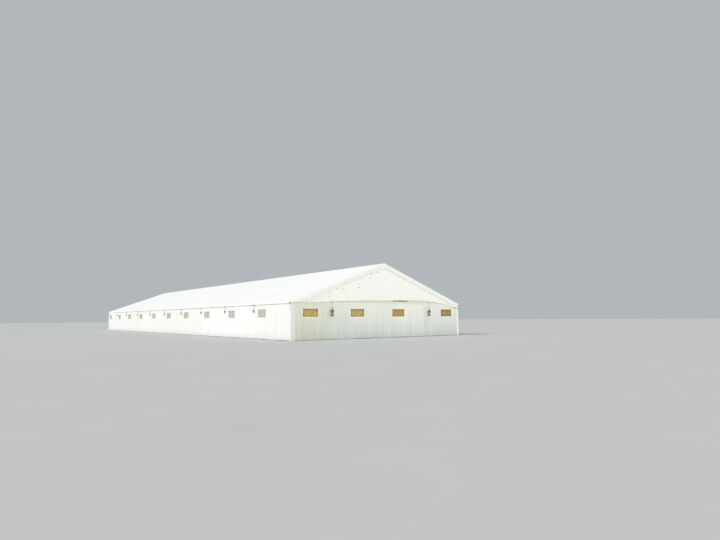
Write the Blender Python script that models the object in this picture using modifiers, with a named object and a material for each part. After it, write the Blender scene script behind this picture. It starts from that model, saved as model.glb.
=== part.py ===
"""A clear-span marquee, modelled at half its real size: ten bays of white covers on aluminium frames.

Metres, +Z up. The origin is on the ground at the middle of the plan. The front gable faces -Y, and
left and right are as seen by someone who stands in front of it.
"""

import math

import bmesh
import bpy
from mathutils import Matrix

# Plan and heights
FRAME_WIDTH = 7.5  # over the outer faces of the legs
BAY_LENGTH = 2.5  # from the middle of one frame to the middle of the next
BAYS = 10
RIDGE_HEIGHT = 2.62  # top of the roof covers
SHOULDER_HEIGHT = 1.2325  # the same, over the outer faces of the legs

# Fabric, and the gaps between pieces
SHEET = 0.005
CLEAR_SHEET = 0.002
FIT = 0.0003
COVER_SEAM = 0.006  # between two covers, over the track of a rafter

# Portal frames
PROFILE_DEPTH = 0.083
PROFILE_WIDTH = 0.044
BASE_OVERHANG = 0.0335  # of a base plate past the leg, to the left and right
BASE_WIDTH = 0.125
BASE_THICKNESS = 0.006

# Purlins, ridge beam and eave beams
PURLIN = 0.03
PURLIN_OFFSET = 1.3  # from the ridge, out along the level
RIDGE_BEAM_WIDTH = 0.03
RIDGE_BEAM_HEIGHT = 0.05
RIDGE_BEAM_DEPTH = 0.022  # from the top of the frame down to the beam
EAVE_BEAM_WIDTH = 0.03
EAVE_BEAM_WALL = 0.003
EAVE_BEAM_LIFT = 0.004  # its underside above the edge of the covers
CURL_RADIUS = 0.03  # of the covers round the eave beam
CURL_STEPS = 5
COVER_SKIRT = 0.0284  # the straight part of the covers below that curl

# Gables
POSTS = 3
POST_WIDTH = 0.044
POST_TONGUE = 0.008  # how far a post stands out of the frame, into the rail
POST_BASE = 0.1
RAIL_THICKNESS = 0.012
PANEL_RISE = 0.0175  # from the roof's shoulder up to the edge of the triangular panel
WALL_SLOT = 0.035  # from that edge down to the top of the walls
RAIL_OVER_PANEL = 0.01
RAIL_OVER_WALL = 0.025
PANEL_SEAM = 0.001
FLAP_DROP = 0.185  # of the end cover's flap over the gable
FLAP_INSET = 0.0005
FLAP_TAPER_START = 0.45  # from the outside of the legs
FLAP_END = 0.05

# Walls and windows
WALL_LIFT = 0.0075
WINDOW_WIDTH = 0.57
WINDOW_SILL = 0.735
WINDOW_HEAD = 1.005
WINDOW_MARGIN = 0.03  # of a clear sheet past its windows
SIDE_WINDOW_OFFSET = 1.94  # its middle from the frame on the front side of its bay
GABLE_WINDOW_OFFSETS = (0.7, 0.68, 0.635, 1.205)  # each one's middle from the left of its panel

# Lanterns
GABLE_LANTERN_PLACES = {"left": -2.268, "right": 2.115}  # across, from the middle
GABLE_LANTERN_HEIGHT = 0.3
GABLE_LANTERN_RADIUS = 0.062
GABLE_LANTERN_ROD = 0.1725
SIDE_LANTERN_HEIGHT = 0.125
SIDE_LANTERN_RADIUS = 0.034
SIDE_LANTERN_ROD = 0.126
LANTERN_STAND_OFF = 0.012  # from the wall to the brim
LANTERN_SIDES = 8
ROD_RADIUS = 0.003
ARM = 0.008
ARM_END = 0.006  # past the middle of the rod
CONDUIT_DROP = 0.01  # of the conduit's top below the edge of the covers
CONDUIT_END = 0.008  # past the last lantern's middle

# Worked out from the sizes above
HALF_SPAN = FRAME_WIDTH / 2
HALF_LENGTH = BAY_LENGTH * BAYS / 2
ROOF_FALL = (RIDGE_HEIGHT - SHOULDER_HEIGHT) / HALF_SPAN  # for each metre out from the ridge
PITCH = math.atan(ROOF_FALL)
FRAME_TOP = SHEET + FIT  # below the roof's surface, square to the slope
FRAME_FACE = HALF_LENGTH + PROFILE_WIDTH / 2
RAIL_FACE = FRAME_FACE + FIT + RAIL_THICKNESS
GABLE_FACE = RAIL_FACE + FIT + SHEET
FLAP_FACE = GABLE_FACE + FIT + SHEET
COVER_END = FLAP_FACE + FLAP_INSET
EAVE_OUTSIDE = HALF_SPAN + FIT + EAVE_BEAM_WIDTH + FIT + SHEET
CURL_CENTRE_X = EAVE_OUTSIDE - CURL_RADIUS
CURL_CENTRE_Z = RIDGE_HEIGHT - ROOF_FALL * CURL_CENTRE_X - CURL_RADIUS / math.cos(PITCH)
EAVE_HEIGHT = CURL_CENTRE_Z - COVER_SKIRT  # lower edge of the covers
CLEAR_INSIDE = HALF_SPAN + FIT
WALL_INSIDE = CLEAR_INSIDE + CLEAR_SHEET + FIT
WALL_OUTSIDE = WALL_INSIDE + SHEET
SIDE_WALL_TOP = EAVE_HEIGHT + EAVE_BEAM_LIFT - FIT
PANEL_EDGE = SHOULDER_HEIGHT + PANEL_RISE
GABLE_WALL_TOP = PANEL_EDGE - WALL_SLOT
CONDUIT_TOP = EAVE_HEIGHT - CONDUIT_DROP
POST_SPACING = FRAME_WIDTH / (POSTS + 1)

FACING_FRONT = (math.radians(90), 0, 0)  # an outline drawn in X and Z
FACING_SIDE = (math.radians(90), 0, math.radians(90))  # an outline drawn in Y and Z
ENDS = {"front": -1, "rear": 1}
SIDES = {"left": -1, "right": 1}


def clear_scene():
    """Removes every object that the file opened with."""
    for old in list(bpy.data.objects):
        bpy.data.objects.remove(old)


def collection(name):
    """A new collection in the scene."""
    made = bpy.data.collections.new(name)
    bpy.context.scene.collection.children.link(made)
    return made


def material(name, colour, roughness, metallic=0.0, alpha=1.0):
    """A plain Principled BSDF with one colour."""
    made = bpy.data.materials.new(name)
    made.use_nodes = True
    shader = made.node_tree.nodes["Principled BSDF"]
    shader.inputs["Base Color"].default_value = (*colour, 1.0)
    shader.inputs["Roughness"].default_value = roughness
    shader.inputs["Metallic"].default_value = metallic
    shader.inputs["Alpha"].default_value = alpha
    return made


def solid_object(name, mesh, finish, location=(0, 0, 0), rotation=(0, 0, 0)):
    """Puts a mesh into the marquee's collection as a named piece."""
    piece = bpy.data.objects.new(name, mesh)
    mesh.materials.clear()
    mesh.materials.append(finish)
    marquee.objects.link(piece)
    piece.location = location
    piece.rotation_euler = rotation
    return piece


def evaluated_mesh(piece):
    """The mesh of a piece with its modifiers applied, in the piece's own axes."""
    bpy.context.view_layer.update()
    graph = bpy.context.evaluated_depsgraph_get()
    return bpy.data.meshes.new_from_object(piece.evaluated_get(graph))


def outline_mesh(name, loops, thickness):
    """A flat outline, with any holes, as a slab of that thickness. Its points are (across, up)."""
    curve = bpy.data.curves.new(name, "CURVE")
    curve.dimensions = "2D"
    curve.fill_mode = "BOTH"
    curve.extrude = thickness / 2
    for loop in loops:
        spline = curve.splines.new("POLY")
        spline.points.add(len(loop) - 1)
        for point, (across, up) in zip(spline.points, loop):
            point.co = (across, up, 0, 1)
        spline.use_cyclic_u = True
    guide = bpy.data.objects.new(name + "_outline", curve)
    helpers.objects.link(guide)
    mesh = evaluated_mesh(guide)
    mesh.name = name
    bpy.data.objects.remove(guide)
    shape = bmesh.new()
    shape.from_mesh(mesh)
    bmesh.ops.remove_doubles(shape, verts=shape.verts, dist=1e-5)
    bmesh.ops.recalc_face_normals(shape, faces=shape.faces)
    shape.to_mesh(mesh)
    shape.free()
    return mesh


def outline_solid(name, loops, low, high, rotation, finish):
    """A slab between two places along the axis that its outline faces."""
    middle = (low + high) / 2
    across_x = rotation == FACING_SIDE
    location = (middle, 0, 0) if across_x else (0, middle, 0)
    mesh = outline_mesh(name, loops, high - low)
    return solid_object(name, mesh, finish, location, rotation)


def box_helper(name, low, high):
    """A box between two corners, as a helper that a Boolean joins to a piece."""
    mesh = bpy.data.meshes.new(name)
    shape = bmesh.new()
    bmesh.ops.create_cube(shape, size=1)
    size = [h - l for l, h in zip(low, high)]
    bmesh.ops.transform(shape, matrix=Matrix.Diagonal((*size, 1)), verts=shape.verts)
    shape.to_mesh(mesh)
    shape.free()
    helper = bpy.data.objects.new(name, mesh)
    helper.location = [(l + h) / 2 for l, h in zip(low, high)]
    return as_helper(helper)


def as_helper(helper):
    """Keeps an object out of the render, for use by a Boolean."""
    helper.hide_render = True
    helper.display_type = "WIRE"
    helpers.objects.link(helper)
    return helper


def join_to(piece, others):
    """Adds a Boolean union for each helper, which overlaps the piece or one joined before it."""
    for other in others:
        union = piece.modifiers.new(other.name, "BOOLEAN")
        union.operation = "UNION"
        union.solver = "EXACT"
        union.object = other
    return piece


def rectangle(low, high, bottom, top):
    """The four corners of an upright rectangle, as an outline."""
    return [(low, bottom), (high, bottom), (high, top), (low, top)]


def below_roof(x, depth):
    """Height of the line at that depth under the roof's surface, square to the slope."""
    return RIDGE_HEIGHT - ROOF_FALL * abs(x) - depth / math.cos(PITCH)


def where_below_roof(height, depth):
    """Distance out from the ridge at which that line is at that height."""
    return (RIDGE_HEIGHT - depth / math.cos(PITCH) - height) / ROOF_FALL


def mirrored(points):
    """Points from the ridge out to the right, with the same ones on the left put before them."""
    left = [(-x, z) for x, z in reversed(points) if x > 0]
    return left + points


def eave_path(depth, lowest):
    """The roof's surface past the last rafter, moved in by a depth: its arc, then straight down."""
    first = math.pi / 2 - PITCH
    radius = CURL_RADIUS - depth
    path = []
    for step in range(CURL_STEPS + 1):
        angle = first * (1 - step / CURL_STEPS)
        x = CURL_CENTRE_X + radius * math.cos(angle)
        path.append((x, CURL_CENTRE_Z + radius * math.sin(angle)))
    path.append((EAVE_OUTSIDE - depth, lowest))
    return path


def cover_outline():
    """The roof cover seen from the gable: one sheet from eave to eave, curled round both beams."""
    outer = mirrored([(0, below_roof(0, 0))] + eave_path(0, EAVE_HEIGHT))
    inner = mirrored([(0, below_roof(0, SHEET))] + eave_path(SHEET, EAVE_HEIGHT))
    return outer + inner[::-1]


def flap_outline():
    """The end cover's flap: a band along both rakes that thins out towards the eaves."""
    start = HALF_SPAN - FLAP_TAPER_START
    end = HALF_SPAN - FLAP_END
    middle_of_cover = SHEET / 2
    top = [(0, below_roof(0, middle_of_cover)), (end, below_roof(end, middle_of_cover))]
    low = [(0, below_roof(0, 0) - FLAP_DROP), (start, below_roof(start, 0) - FLAP_DROP)]
    return mirrored(top) + mirrored(low)[::-1]


def purlin_corners(margin):
    """The right-hand purlin's corners, in the middle of the rafter's depth and square to it."""
    half = PURLIN / 2 + margin
    middle = (PURLIN_OFFSET, below_roof(PURLIN_OFFSET, FRAME_TOP + PROFILE_DEPTH / 2))
    along = (math.cos(PITCH), -math.sin(PITCH))
    up = (math.sin(PITCH), math.cos(PITCH))
    corners = []
    for a, u in ((-1, -1), (1, -1), (1, 1), (-1, 1)):
        x = middle[0] + half * (a * along[0] + u * up[0])
        z = middle[1] + half * (a * along[1] + u * up[1])
        corners.append((x, z))
    return corners


def ridge_beam_corners(margin):
    """The ridge beam's corners, under the peak of the frame."""
    half = RIDGE_BEAM_WIDTH / 2 + margin
    top = below_roof(0, FRAME_TOP) - RIDGE_BEAM_DEPTH
    return rectangle(-half, half, top - RIDGE_BEAM_HEIGHT - margin, top + margin)


def frame_line(x, depth):
    """A line from foot to foot: straight up, then up and down under the roof at that depth."""
    return mirrored([(0, below_roof(0, depth)), (x, below_roof(x, depth)), (x, 0)])


def frame_outline():
    """A portal frame: two legs and two rafters of one profile, with its holes for the beams."""
    outer = frame_line(HALF_SPAN, FRAME_TOP)
    inner = frame_line(HALF_SPAN - PROFILE_DEPTH, FRAME_TOP + PROFILE_DEPTH)
    right_hole = purlin_corners(FIT)
    left_hole = [(-x, z) for x, z in reversed(right_hole)]
    return [outer + inner[::-1], right_hole, left_hole, ridge_beam_corners(FIT)]


def frame_place(number):
    """Where a portal frame's middle is along the marquee, counted from the front."""
    return number * BAY_LENGTH - HALF_LENGTH


def build_frames():
    """Eleven portal frames that share one mesh, each with a base plate under both legs."""
    half = PROFILE_WIDTH / 2
    master = outline_solid("frame_master", frame_outline(), -half, half, FACING_FRONT, aluminium)
    leg_middle = HALF_SPAN - PROFILE_DEPTH / 2
    reach = PROFILE_DEPTH / 2 + BASE_OVERHANG
    plates = []
    for side, sign in SIDES.items():
        low = (sign * leg_middle - reach, -BASE_WIDTH / 2, 0)
        high = (sign * leg_middle + reach, BASE_WIDTH / 2, BASE_THICKNESS)
        plates.append(box_helper(side + "_base_plate", low, high))
    join_to(master, plates)
    mesh = evaluated_mesh(master)
    mesh.name = "portal_frame"
    bpy.data.objects.remove(master)
    for number in range(BAYS + 1):
        name = f"portal_frame_{number + 1:02d}"
        place = (0, frame_place(number), 0)
        solid_object(name, mesh, aluminium, place, FACING_FRONT)


def build_beams():
    """The lines of beams that run through the frames, and the hollow one along each eave."""
    reach = FRAME_FACE - FIT
    outline_solid("ridge_beam", [ridge_beam_corners(0)], -reach, reach, FACING_FRONT, aluminium)
    depth = SHEET + FIT
    bottom = EAVE_HEIGHT + EAVE_BEAM_LIFT
    inside = HALF_SPAN + FIT
    outer = [(inside, bottom), (inside, below_roof(inside, depth))] + eave_path(depth, bottom)
    hole_depth = depth + EAVE_BEAM_WALL
    hole_inside = inside + EAVE_BEAM_WALL
    hole_bottom = bottom + EAVE_BEAM_WALL
    hole = [(hole_inside, hole_bottom), (hole_inside, below_roof(hole_inside, hole_depth))]
    hole += eave_path(hole_depth, hole_bottom)
    for side, sign in SIDES.items():
        purlin = [(sign * x, z) for x, z in purlin_corners(0)]
        outline_solid(side + "_purlin", [purlin], -reach, reach, FACING_FRONT, aluminium)
        loops = [[(sign * x, z) for x, z in loop] for loop in (outer, hole)]
        outline_solid(side + "_eave_beam", loops, -GABLE_FACE, GABLE_FACE, FACING_FRONT, aluminium)


def build_covers():
    """One cover a bay. The first and the last carry a flap that hangs over their gable."""
    for number in range(BAYS):
        low = frame_place(number) + COVER_SEAM / 2
        high = frame_place(number + 1) - COVER_SEAM / 2
        low = -COVER_END if number == 0 else low
        high = COVER_END if number == BAYS - 1 else high
        name = f"roof_cover_{number + 1:02d}"
        cover = outline_solid(name, [cover_outline()], low, high, FACING_FRONT, canvas)
        for end, sign in ENDS.items():
            if number != (0 if end == "front" else BAYS - 1):
                continue
            flap = bpy.data.objects.new(end + "_flap", outline_mesh(end + "_flap", [flap_outline()], SHEET))
            flap.location = (0, sign * (FLAP_FACE - SHEET / 2), 0)
            flap.rotation_euler = FACING_FRONT
            join_to(cover, [as_helper(flap)])


def side_window_middles():
    """Where the middle of each side window is along the marquee."""
    return [frame_place(number) + SIDE_WINDOW_OFFSET for number in range(BAYS)]


def gable_window_middles():
    """Where the middle of each gable window is across the marquee."""
    lefts = [number * POST_SPACING - HALF_SPAN for number in range(POSTS + 1)]
    return [left + offset for left, offset in zip(lefts, GABLE_WINDOW_OFFSETS)]


def window_outline(middle):
    """One window as an outline, which is a hole in its wall."""
    half = WINDOW_WIDTH / 2
    return rectangle(middle - half, middle + half, WINDOW_SILL, WINDOW_HEAD)


def clear_outline(middles):
    """A clear sheet that closes a whole row of windows."""
    reach = WINDOW_WIDTH / 2 + WINDOW_MARGIN
    bottom = WINDOW_SILL - WINDOW_MARGIN
    top = WINDOW_HEAD + WINDOW_MARGIN
    return rectangle(min(middles) - reach, max(middles) + reach, bottom, top)


def build_side_walls():
    """A hung wall along each side, its row of windows and the clear sheet behind them."""
    middles = side_window_middles()
    wall = [rectangle(-GABLE_FACE, GABLE_FACE, WALL_LIFT, SIDE_WALL_TOP)]
    wall += [window_outline(middle) for middle in middles]
    for side, sign in SIDES.items():
        low, high = sorted((sign * WALL_INSIDE, sign * WALL_OUTSIDE))
        outline_solid(side + "_side_wall", wall, low, high, FACING_SIDE, canvas)
        low, high = sorted((sign * CLEAR_INSIDE, sign * (CLEAR_INSIDE + CLEAR_SHEET)))
        outline_solid(side + "_window_sheet", [clear_outline(middles)], low, high, FACING_SIDE, clear)


def post_outline(x):
    """An upright of the gable, cut to the slope of the rafter above it."""
    depth = FRAME_TOP + PROFILE_DEPTH + FIT
    left, right = x - POST_WIDTH / 2, x + POST_WIDTH / 2
    ends = [right, 0, left] if left < 0 < right else [right, left]
    return [(left, 0), (right, 0)] + [(end, below_roof(end, depth)) for end in ends]


def rail_outline():
    """The rail across the gable at the level of the eaves, trimmed under the roof at both ends."""
    depth = SHEET + FIT
    top = PANEL_EDGE + RAIL_OVER_PANEL
    bottom = GABLE_WALL_TOP - RAIL_OVER_WALL
    upper = [(where_below_roof(top, depth), top), (HALF_SPAN, below_roof(HALF_SPAN, depth))]
    return mirrored(upper) + [(HALF_SPAN, bottom), (-HALF_SPAN, bottom)]


def build_gable_frame(end, sign):
    """Three posts on base plates, joined by the rail that the gable's fabric hangs on."""
    low, high = sorted((sign * (FRAME_FACE + FIT), sign * RAIL_FACE))
    frame = outline_solid(end + "_gable_frame", [rail_outline()], low, high, FACING_FRONT, aluminium)
    others = []
    back = FRAME_FACE - PROFILE_WIDTH
    front = FRAME_FACE + POST_TONGUE
    for number in range(POSTS):
        x = (number + 1) * POST_SPACING - HALF_SPAN
        name = f"{end}_post_{number + 1}"
        post = bpy.data.objects.new(name, outline_mesh(name, [post_outline(x)], front - back))
        post.location = (0, sign * (front + back) / 2, 0)
        post.rotation_euler = FACING_FRONT
        others.append(as_helper(post))
        y = sign * HALF_LENGTH
        half = POST_BASE / 2
        low_corner, high_corner = (x - half, y - half, 0), (x + half, y + half, BASE_THICKNESS)
        others.append(box_helper(name + "_plate", low_corner, high_corner))
    return join_to(frame, others)


def gable_wall_span(number):
    """The left and right edges of one of the gable's wall panels, between two posts."""
    left = number * POST_SPACING - HALF_SPAN
    right = left + POST_SPACING
    left += 0 if number == 0 else PANEL_SEAM / 2
    right -= 0 if number == POSTS else PANEL_SEAM / 2
    return left, right


def build_gable(end, sign):
    """The fabric of one gable: the panel under the roof, the walls and the clear sheet."""
    low, high = sorted((sign * (RAIL_FACE + FIT), sign * GABLE_FACE))
    middles = gable_window_middles()
    corner = where_below_roof(PANEL_EDGE, SHEET + FIT)
    panel = [(-corner, PANEL_EDGE), (corner, PANEL_EDGE), (0, below_roof(0, SHEET + FIT))]
    outline_solid(end + "_gable_panel", [panel], low, high, FACING_FRONT, canvas)
    if end == "front":
        for number in range(POSTS + 1):
            left, right = gable_wall_span(number)
            loops = [rectangle(left, right, WALL_LIFT, GABLE_WALL_TOP)]
            loops.append(window_outline(middles[number]))
            outline_solid(f"front_wall_panel_{number + 1}", loops, low, high, FACING_FRONT, canvas)
    else:
        loops = [rectangle(-HALF_SPAN, HALF_SPAN, WALL_LIFT, GABLE_WALL_TOP)]
        loops += [window_outline(middle) for middle in middles]
        outline_solid("rear_gable_wall", loops, low, high, FACING_FRONT, canvas)
    low, high = sorted((sign * (RAIL_FACE - CLEAR_SHEET), sign * RAIL_FACE))
    sheet = clear_outline(middles)
    outline_solid(end + "_window_sheet", [sheet], low, high, FACING_FRONT, clear)


def lantern_profile(height, radius, rod):
    """Half of a lantern's outline, from the top of its rod down to the knob underneath."""
    shares = (
        (0.05, 1.0),
        (0.14, 0.97),
        (0.12, 0.86),
        (0.45, 0.76),
        (1.0, 0.62),
        (1.0, 0.58),
        (0.82, 0.57),
        (0.46, 0.28),
        (0.56, 0.25),
        (0.48, 0.13),
        (0.16, 0.05),
    )
    points = [(0, height + rod), (ROD_RADIUS, height + rod), (ROD_RADIUS, height)]
    points += [(radius * r, height * z) for r, z in shares]
    return points + [(0, 0)]


def turned_lantern(name, place, height, radius, rod):
    """A lantern with its rod, turned about the upright line through its place."""
    profile = lantern_profile(height, radius, rod)
    mesh = bpy.data.meshes.new(name)
    points = [(r, 0, z) for r, z in profile]
    mesh.from_pydata(points, [(n, n + 1) for n in range(len(points) - 1)], [])
    lantern = bpy.data.objects.new(name, mesh)
    lantern.location = place
    screw = lantern.modifiers.new("turn", "SCREW")
    screw.steps = LANTERN_SIDES
    screw.render_steps = LANTERN_SIDES
    screw.use_merge_vertices = True
    screw.merge_threshold = 1e-5
    screw.use_normal_calculate = True
    return lantern


def build_gable_lantern(name, x, sign):
    """A lantern that hangs on its rod from an arm on the gable's rail."""
    y = sign * (GABLE_FACE + LANTERN_STAND_OFF + GABLE_LANTERN_RADIUS)
    arm_middle = PANEL_EDGE - WALL_SLOT / 2
    place = (x, y, arm_middle - GABLE_LANTERN_ROD - GABLE_LANTERN_HEIGHT)
    lantern = turned_lantern(name, place, GABLE_LANTERN_HEIGHT, GABLE_LANTERN_RADIUS, GABLE_LANTERN_ROD)
    lantern.data.materials.append(iron)
    marquee.objects.link(lantern)
    near, far = sorted((sign * (RAIL_FACE + FIT), y + sign * ARM_END))
    low = (x - ARM / 2, near, arm_middle - ARM / 2)
    high = (x + ARM / 2, far, arm_middle + ARM / 2)
    return join_to(lantern, [box_helper(name + "_arm", low, high)])


def build_lantern_string(side, sign):
    """The lanterns outside the inner frames, on a conduit that runs under the eave."""
    inner, outer = WALL_OUTSIDE + FIT, WALL_OUTSIDE + FIT + ARM
    places = [frame_place(number) for number in range(1, BAYS)]
    low_x, high_x = sorted((sign * inner, sign * outer))
    bottom = CONDUIT_TOP - ARM
    run = rectangle(places[0] - CONDUIT_END, places[-1] + CONDUIT_END, bottom, CONDUIT_TOP)
    string = outline_solid(side + "_lantern_string", [run], low_x, high_x, FACING_SIDE, iron)
    x = sign * (WALL_OUTSIDE + LANTERN_STAND_OFF + SIDE_LANTERN_RADIUS)
    arm_drop = ARM / 8  # keeps the arm's faces off the conduit's
    lantern_bottom = CONDUIT_TOP - ARM / 2 - SIDE_LANTERN_ROD - SIDE_LANTERN_HEIGHT
    others = []
    for number, y in enumerate(places):
        name = f"{side}_lantern_{number + 1}"
        start = sign * (inner + ARM / 2)
        near, far = sorted((start, x + sign * ARM_END))
        low = (near, y - ARM / 2, bottom + arm_drop)
        high = (far, y + ARM / 2, CONDUIT_TOP - arm_drop)
        others.append(box_helper(name + "_arm", low, high))
        place = (x, y, lantern_bottom)
        lantern = turned_lantern(name, place, SIDE_LANTERN_HEIGHT, SIDE_LANTERN_RADIUS, SIDE_LANTERN_ROD)
        others.append(as_helper(lantern))
    return join_to(string, others)


clear_scene()
marquee = collection("marquee")
helpers = collection("helpers")
canvas = material("white_canvas", (0.86, 0.86, 0.83), 0.55)
aluminium = material("aluminium", (0.72, 0.73, 0.74), 0.38, metallic=0.9)
clear = material("clear_sheet", (0.78, 0.64, 0.42), 0.15, alpha=0.4)
iron = material("dark_iron", (0.03, 0.045, 0.04), 0.45, metallic=0.4)

build_frames()
build_beams()
build_covers()
build_side_walls()
for end_name, end_sign in ENDS.items():
    build_gable_frame(end_name, end_sign)
    build_gable(end_name, end_sign)
    for side_name, across in GABLE_LANTERN_PLACES.items():
        build_gable_lantern(f"{end_name}_lantern_{side_name}", across, end_sign)
for side_name, side_sign in SIDES.items():
    build_lantern_string(side_name, side_sign)
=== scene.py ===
# %% [markdown]
# # Dressing a marquee tent
#
# The CAD model of this marquee holds its aluminium skeleton and plain stand-ins for its cloth. This lesson
# hangs the real cloth on it: ten roof covers, the flaps over the gables, curtain walls with small windows,
# pleated linings and dark iron lanterns. Every new piece is a surface worked out with numpy and handed to
# Blender as one mesh, so a shape is always a formula that can be read, changed and run again. It is a
# half-size scale model, and lengths are metres.

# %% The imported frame
from collections import namedtuple
from math import cos, pi, radians, sin, tau

import bmesh
import bpy
import numpy as np
from mathutils import Matrix, Vector


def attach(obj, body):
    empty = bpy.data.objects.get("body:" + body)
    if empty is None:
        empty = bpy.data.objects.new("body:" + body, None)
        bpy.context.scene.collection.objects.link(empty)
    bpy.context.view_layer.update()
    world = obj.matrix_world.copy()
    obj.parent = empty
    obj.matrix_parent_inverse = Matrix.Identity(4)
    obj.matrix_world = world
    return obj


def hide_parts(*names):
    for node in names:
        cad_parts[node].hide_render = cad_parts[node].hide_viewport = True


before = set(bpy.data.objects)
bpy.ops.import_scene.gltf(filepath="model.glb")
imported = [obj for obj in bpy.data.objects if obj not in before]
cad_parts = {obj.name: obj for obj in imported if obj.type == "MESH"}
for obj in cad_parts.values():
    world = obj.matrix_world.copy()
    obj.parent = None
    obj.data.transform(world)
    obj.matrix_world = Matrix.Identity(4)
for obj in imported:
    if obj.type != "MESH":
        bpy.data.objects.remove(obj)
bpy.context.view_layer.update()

# %% [markdown]
# ## Where everything is
#
# The cloth has to fit the skeleton, so the skeleton's own measures come first: the fall of the roof, the
# place of each frame, and the planes in which walls and gables hang. X runs across the marquee, Y along it,
# and the front gable faces towards -Y. `end` is -1 at the front gable and +1 at the rear one, `side` is -1
# on the left and +1 on the right, and a place is always worked out once and multiplied by them.

# %% Measures of the skeleton
BAY = 2.5
BAYS = 10
HALF_LENGTH = BAY * BAYS / 2
HALF_SPAN = 3.75  # out to the outer faces of the legs
RIDGE = 2.62
FALL = 0.37  # of the roof, for each metre out from the ridge
PITCH = float(np.arctan(FALL))
EAVE_X, EAVE_Z, EAVE_RADIUS = 3.7556, 1.1984, 0.03  # middle and radius of the covers' arc at the eave
POST_X = 1.875
LEG_HALF = 0.022  # half a leg's width along the marquee
FRAME_Y = np.linspace(-HALF_LENGTH, HALF_LENGTH, BAYS + 1)
SIDES = {"left": -1, "right": 1}
ENDS = {"front": -1, "rear": 1}

# Upright faces, each further out than the one before it, and the heights of the walls
LINING_Y, BLIND_Y, RAIL_Y, GABLE_Y, COVER_END_Y = 12.5175, 12.523, 12.535, 12.5396, 12.5454
LINING_X, WALL_X = 3.75, 3.7576
WALL_FOOT, SIDE_TOP, GABLE_TOP = 0.0075, 1.1737, 1.215

WINDOW_WIDTH, WINDOW_SILL, WINDOW_HEAD = 0.57, 0.735, 1.005
GABLE_WINDOWS = np.array([-3.05, -1.195, 0.635, 3.08])
SIDE_WINDOWS = FRAME_Y[:-1] + 1.94
LANTERN_PLACES = {"left": (-2.268, 0.752), "right": (2.115, 0.746)}  # across, and the height of the foot


def roof_height(x):
    """Height of the roof's outer surface: the ridge, less the fall times the distance from the middle."""
    return RIDGE - FALL * np.abs(x)


print(f"{BAYS} bays, roof pitch {np.degrees(PITCH):.1f} degrees, eaves at {roof_height(EAVE_X):.3f} m")

# %% [markdown]
# ## The camera
#
# The photograph was taken standing on a path, well back from the front left corner. A pinhole camera fitted
# to the corners, window edges and lanterns gave the place, the three angles and the focal length below. The
# camera's own axes are worked out from the angles: turn about the vertical, tilt up, and last a little
# roll.

# %% Camera
CAMERA_PLACE = Vector((-11.874, -26.79, 0.685))
TURN, TILT, ROLL = radians(-37.148), radians(5.25), radians(-0.385)
FOCAL_PIXELS, PICTURE_WIDTH = 525.6, 720
SENSOR_WIDTH = 36  # mm

level_right = Vector((cos(TURN), sin(TURN), 0))
level_ahead = Vector((-sin(TURN), cos(TURN), 0))
ahead = level_ahead * cos(TILT) + Vector((0, 0, sin(TILT)))
above = Vector((0, 0, cos(TILT))) - level_ahead * sin(TILT)
camera_right = level_right * cos(ROLL) + above * sin(ROLL)
camera_up = above * cos(ROLL) - level_right * sin(ROLL)

camera = bpy.data.objects.new("camera", bpy.data.cameras.new("camera"))
camera.data.sensor_width = SENSOR_WIDTH
camera.data.lens = FOCAL_PIXELS * SENSOR_WIDTH / PICTURE_WIDTH
camera.data.clip_end = 500
camera_axes = Matrix((camera_right, camera_up, -ahead)).transposed().to_4x4()
camera.matrix_world = Matrix.Translation(CAMERA_PLACE) @ camera_axes
bpy.context.scene.collection.objects.link(camera)
bpy.context.scene.camera = camera
print(f"lens {camera.data.lens:.2f} mm")

# %% [markdown]
# ## Surfaces from arrays
#
# A cloth, a bar or a turned lantern is the same thing to a computer: a grid of points, where each little
# square of neighbours is one face. `Shape` keeps such a grid with its cut, the flat place of each point in
# metres, which the weave and the seams follow. Shapes that close on themselves repeat their first column,
# and the doubled points are merged afterwards, so the cut can start again there without a smear.

# %% Grids, and the mesh that they become
Shape = namedtuple("Shape", "points faces cut finish")
FINEST = 2e-6  # points closer than this are one


def joined(*numbers):
    """Grids stretched to one size and set side by side: x, y, z make points; across, along make a cut."""
    return np.stack(np.broadcast_arrays(*numbers), axis=-1)


def grid_faces(rows, columns):
    """Corner numbers of each face: a point, its right neighbour, the one above that, and the one above."""
    start = np.arange(rows - 1)[:, None] * columns + np.arange(columns - 1)
    return np.stack([start, start + 1, start + columns + 1, start + columns], axis=-1).reshape(-1, 4)


def distance_run(points, axis):
    """How far each point is from the first along that axis of the grid: the sum of the steps up to it."""
    first = points[:, :1] if axis else points[:1]
    return np.linalg.norm(np.diff(points, axis=axis, prepend=first), axis=2).cumsum(axis=axis)


def grid_shape(points, cut=None, finish=0, keep=None):
    """A grid of points (rows, columns, 3) as a shape. Without a cut, it is the distance run both ways."""
    if cut is None:
        cut = joined(distance_run(points, 1), distance_run(points, 0))
    faces = grid_faces(*points.shape[:2])
    if keep is not None:
        faces = faces[keep.ravel()]
    cut = np.broadcast_to(cut, points.shape[:2] + (2,))
    return Shape(points.reshape(-1, 3), faces, cut.reshape(-1, 2), finish)


def copies(shape, places, turns=None):
    """The shape set down at each place, turned about its own vertical by the angles in turns."""
    places = np.atleast_2d(np.asarray(places, float))
    points = np.broadcast_to(shape.points, (len(places),) + shape.points.shape)
    if turns is not None:
        turns = np.broadcast_to(turns, len(places))[:, None]
        c, s = np.cos(turns), np.sin(turns)
        x, y = points[..., 0], points[..., 1]
        points = np.stack([c * x - s * y, s * x + c * y, points[..., 2]], axis=-1)
    points = points + places[:, None]
    first = np.arange(len(places))[:, None, None] * len(shape.points)
    faces = (shape.faces + first).reshape(-1, 4)
    return Shape(points.reshape(-1, 3), faces, np.tile(shape.cut, (len(places), 1)), shape.finish)


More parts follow.
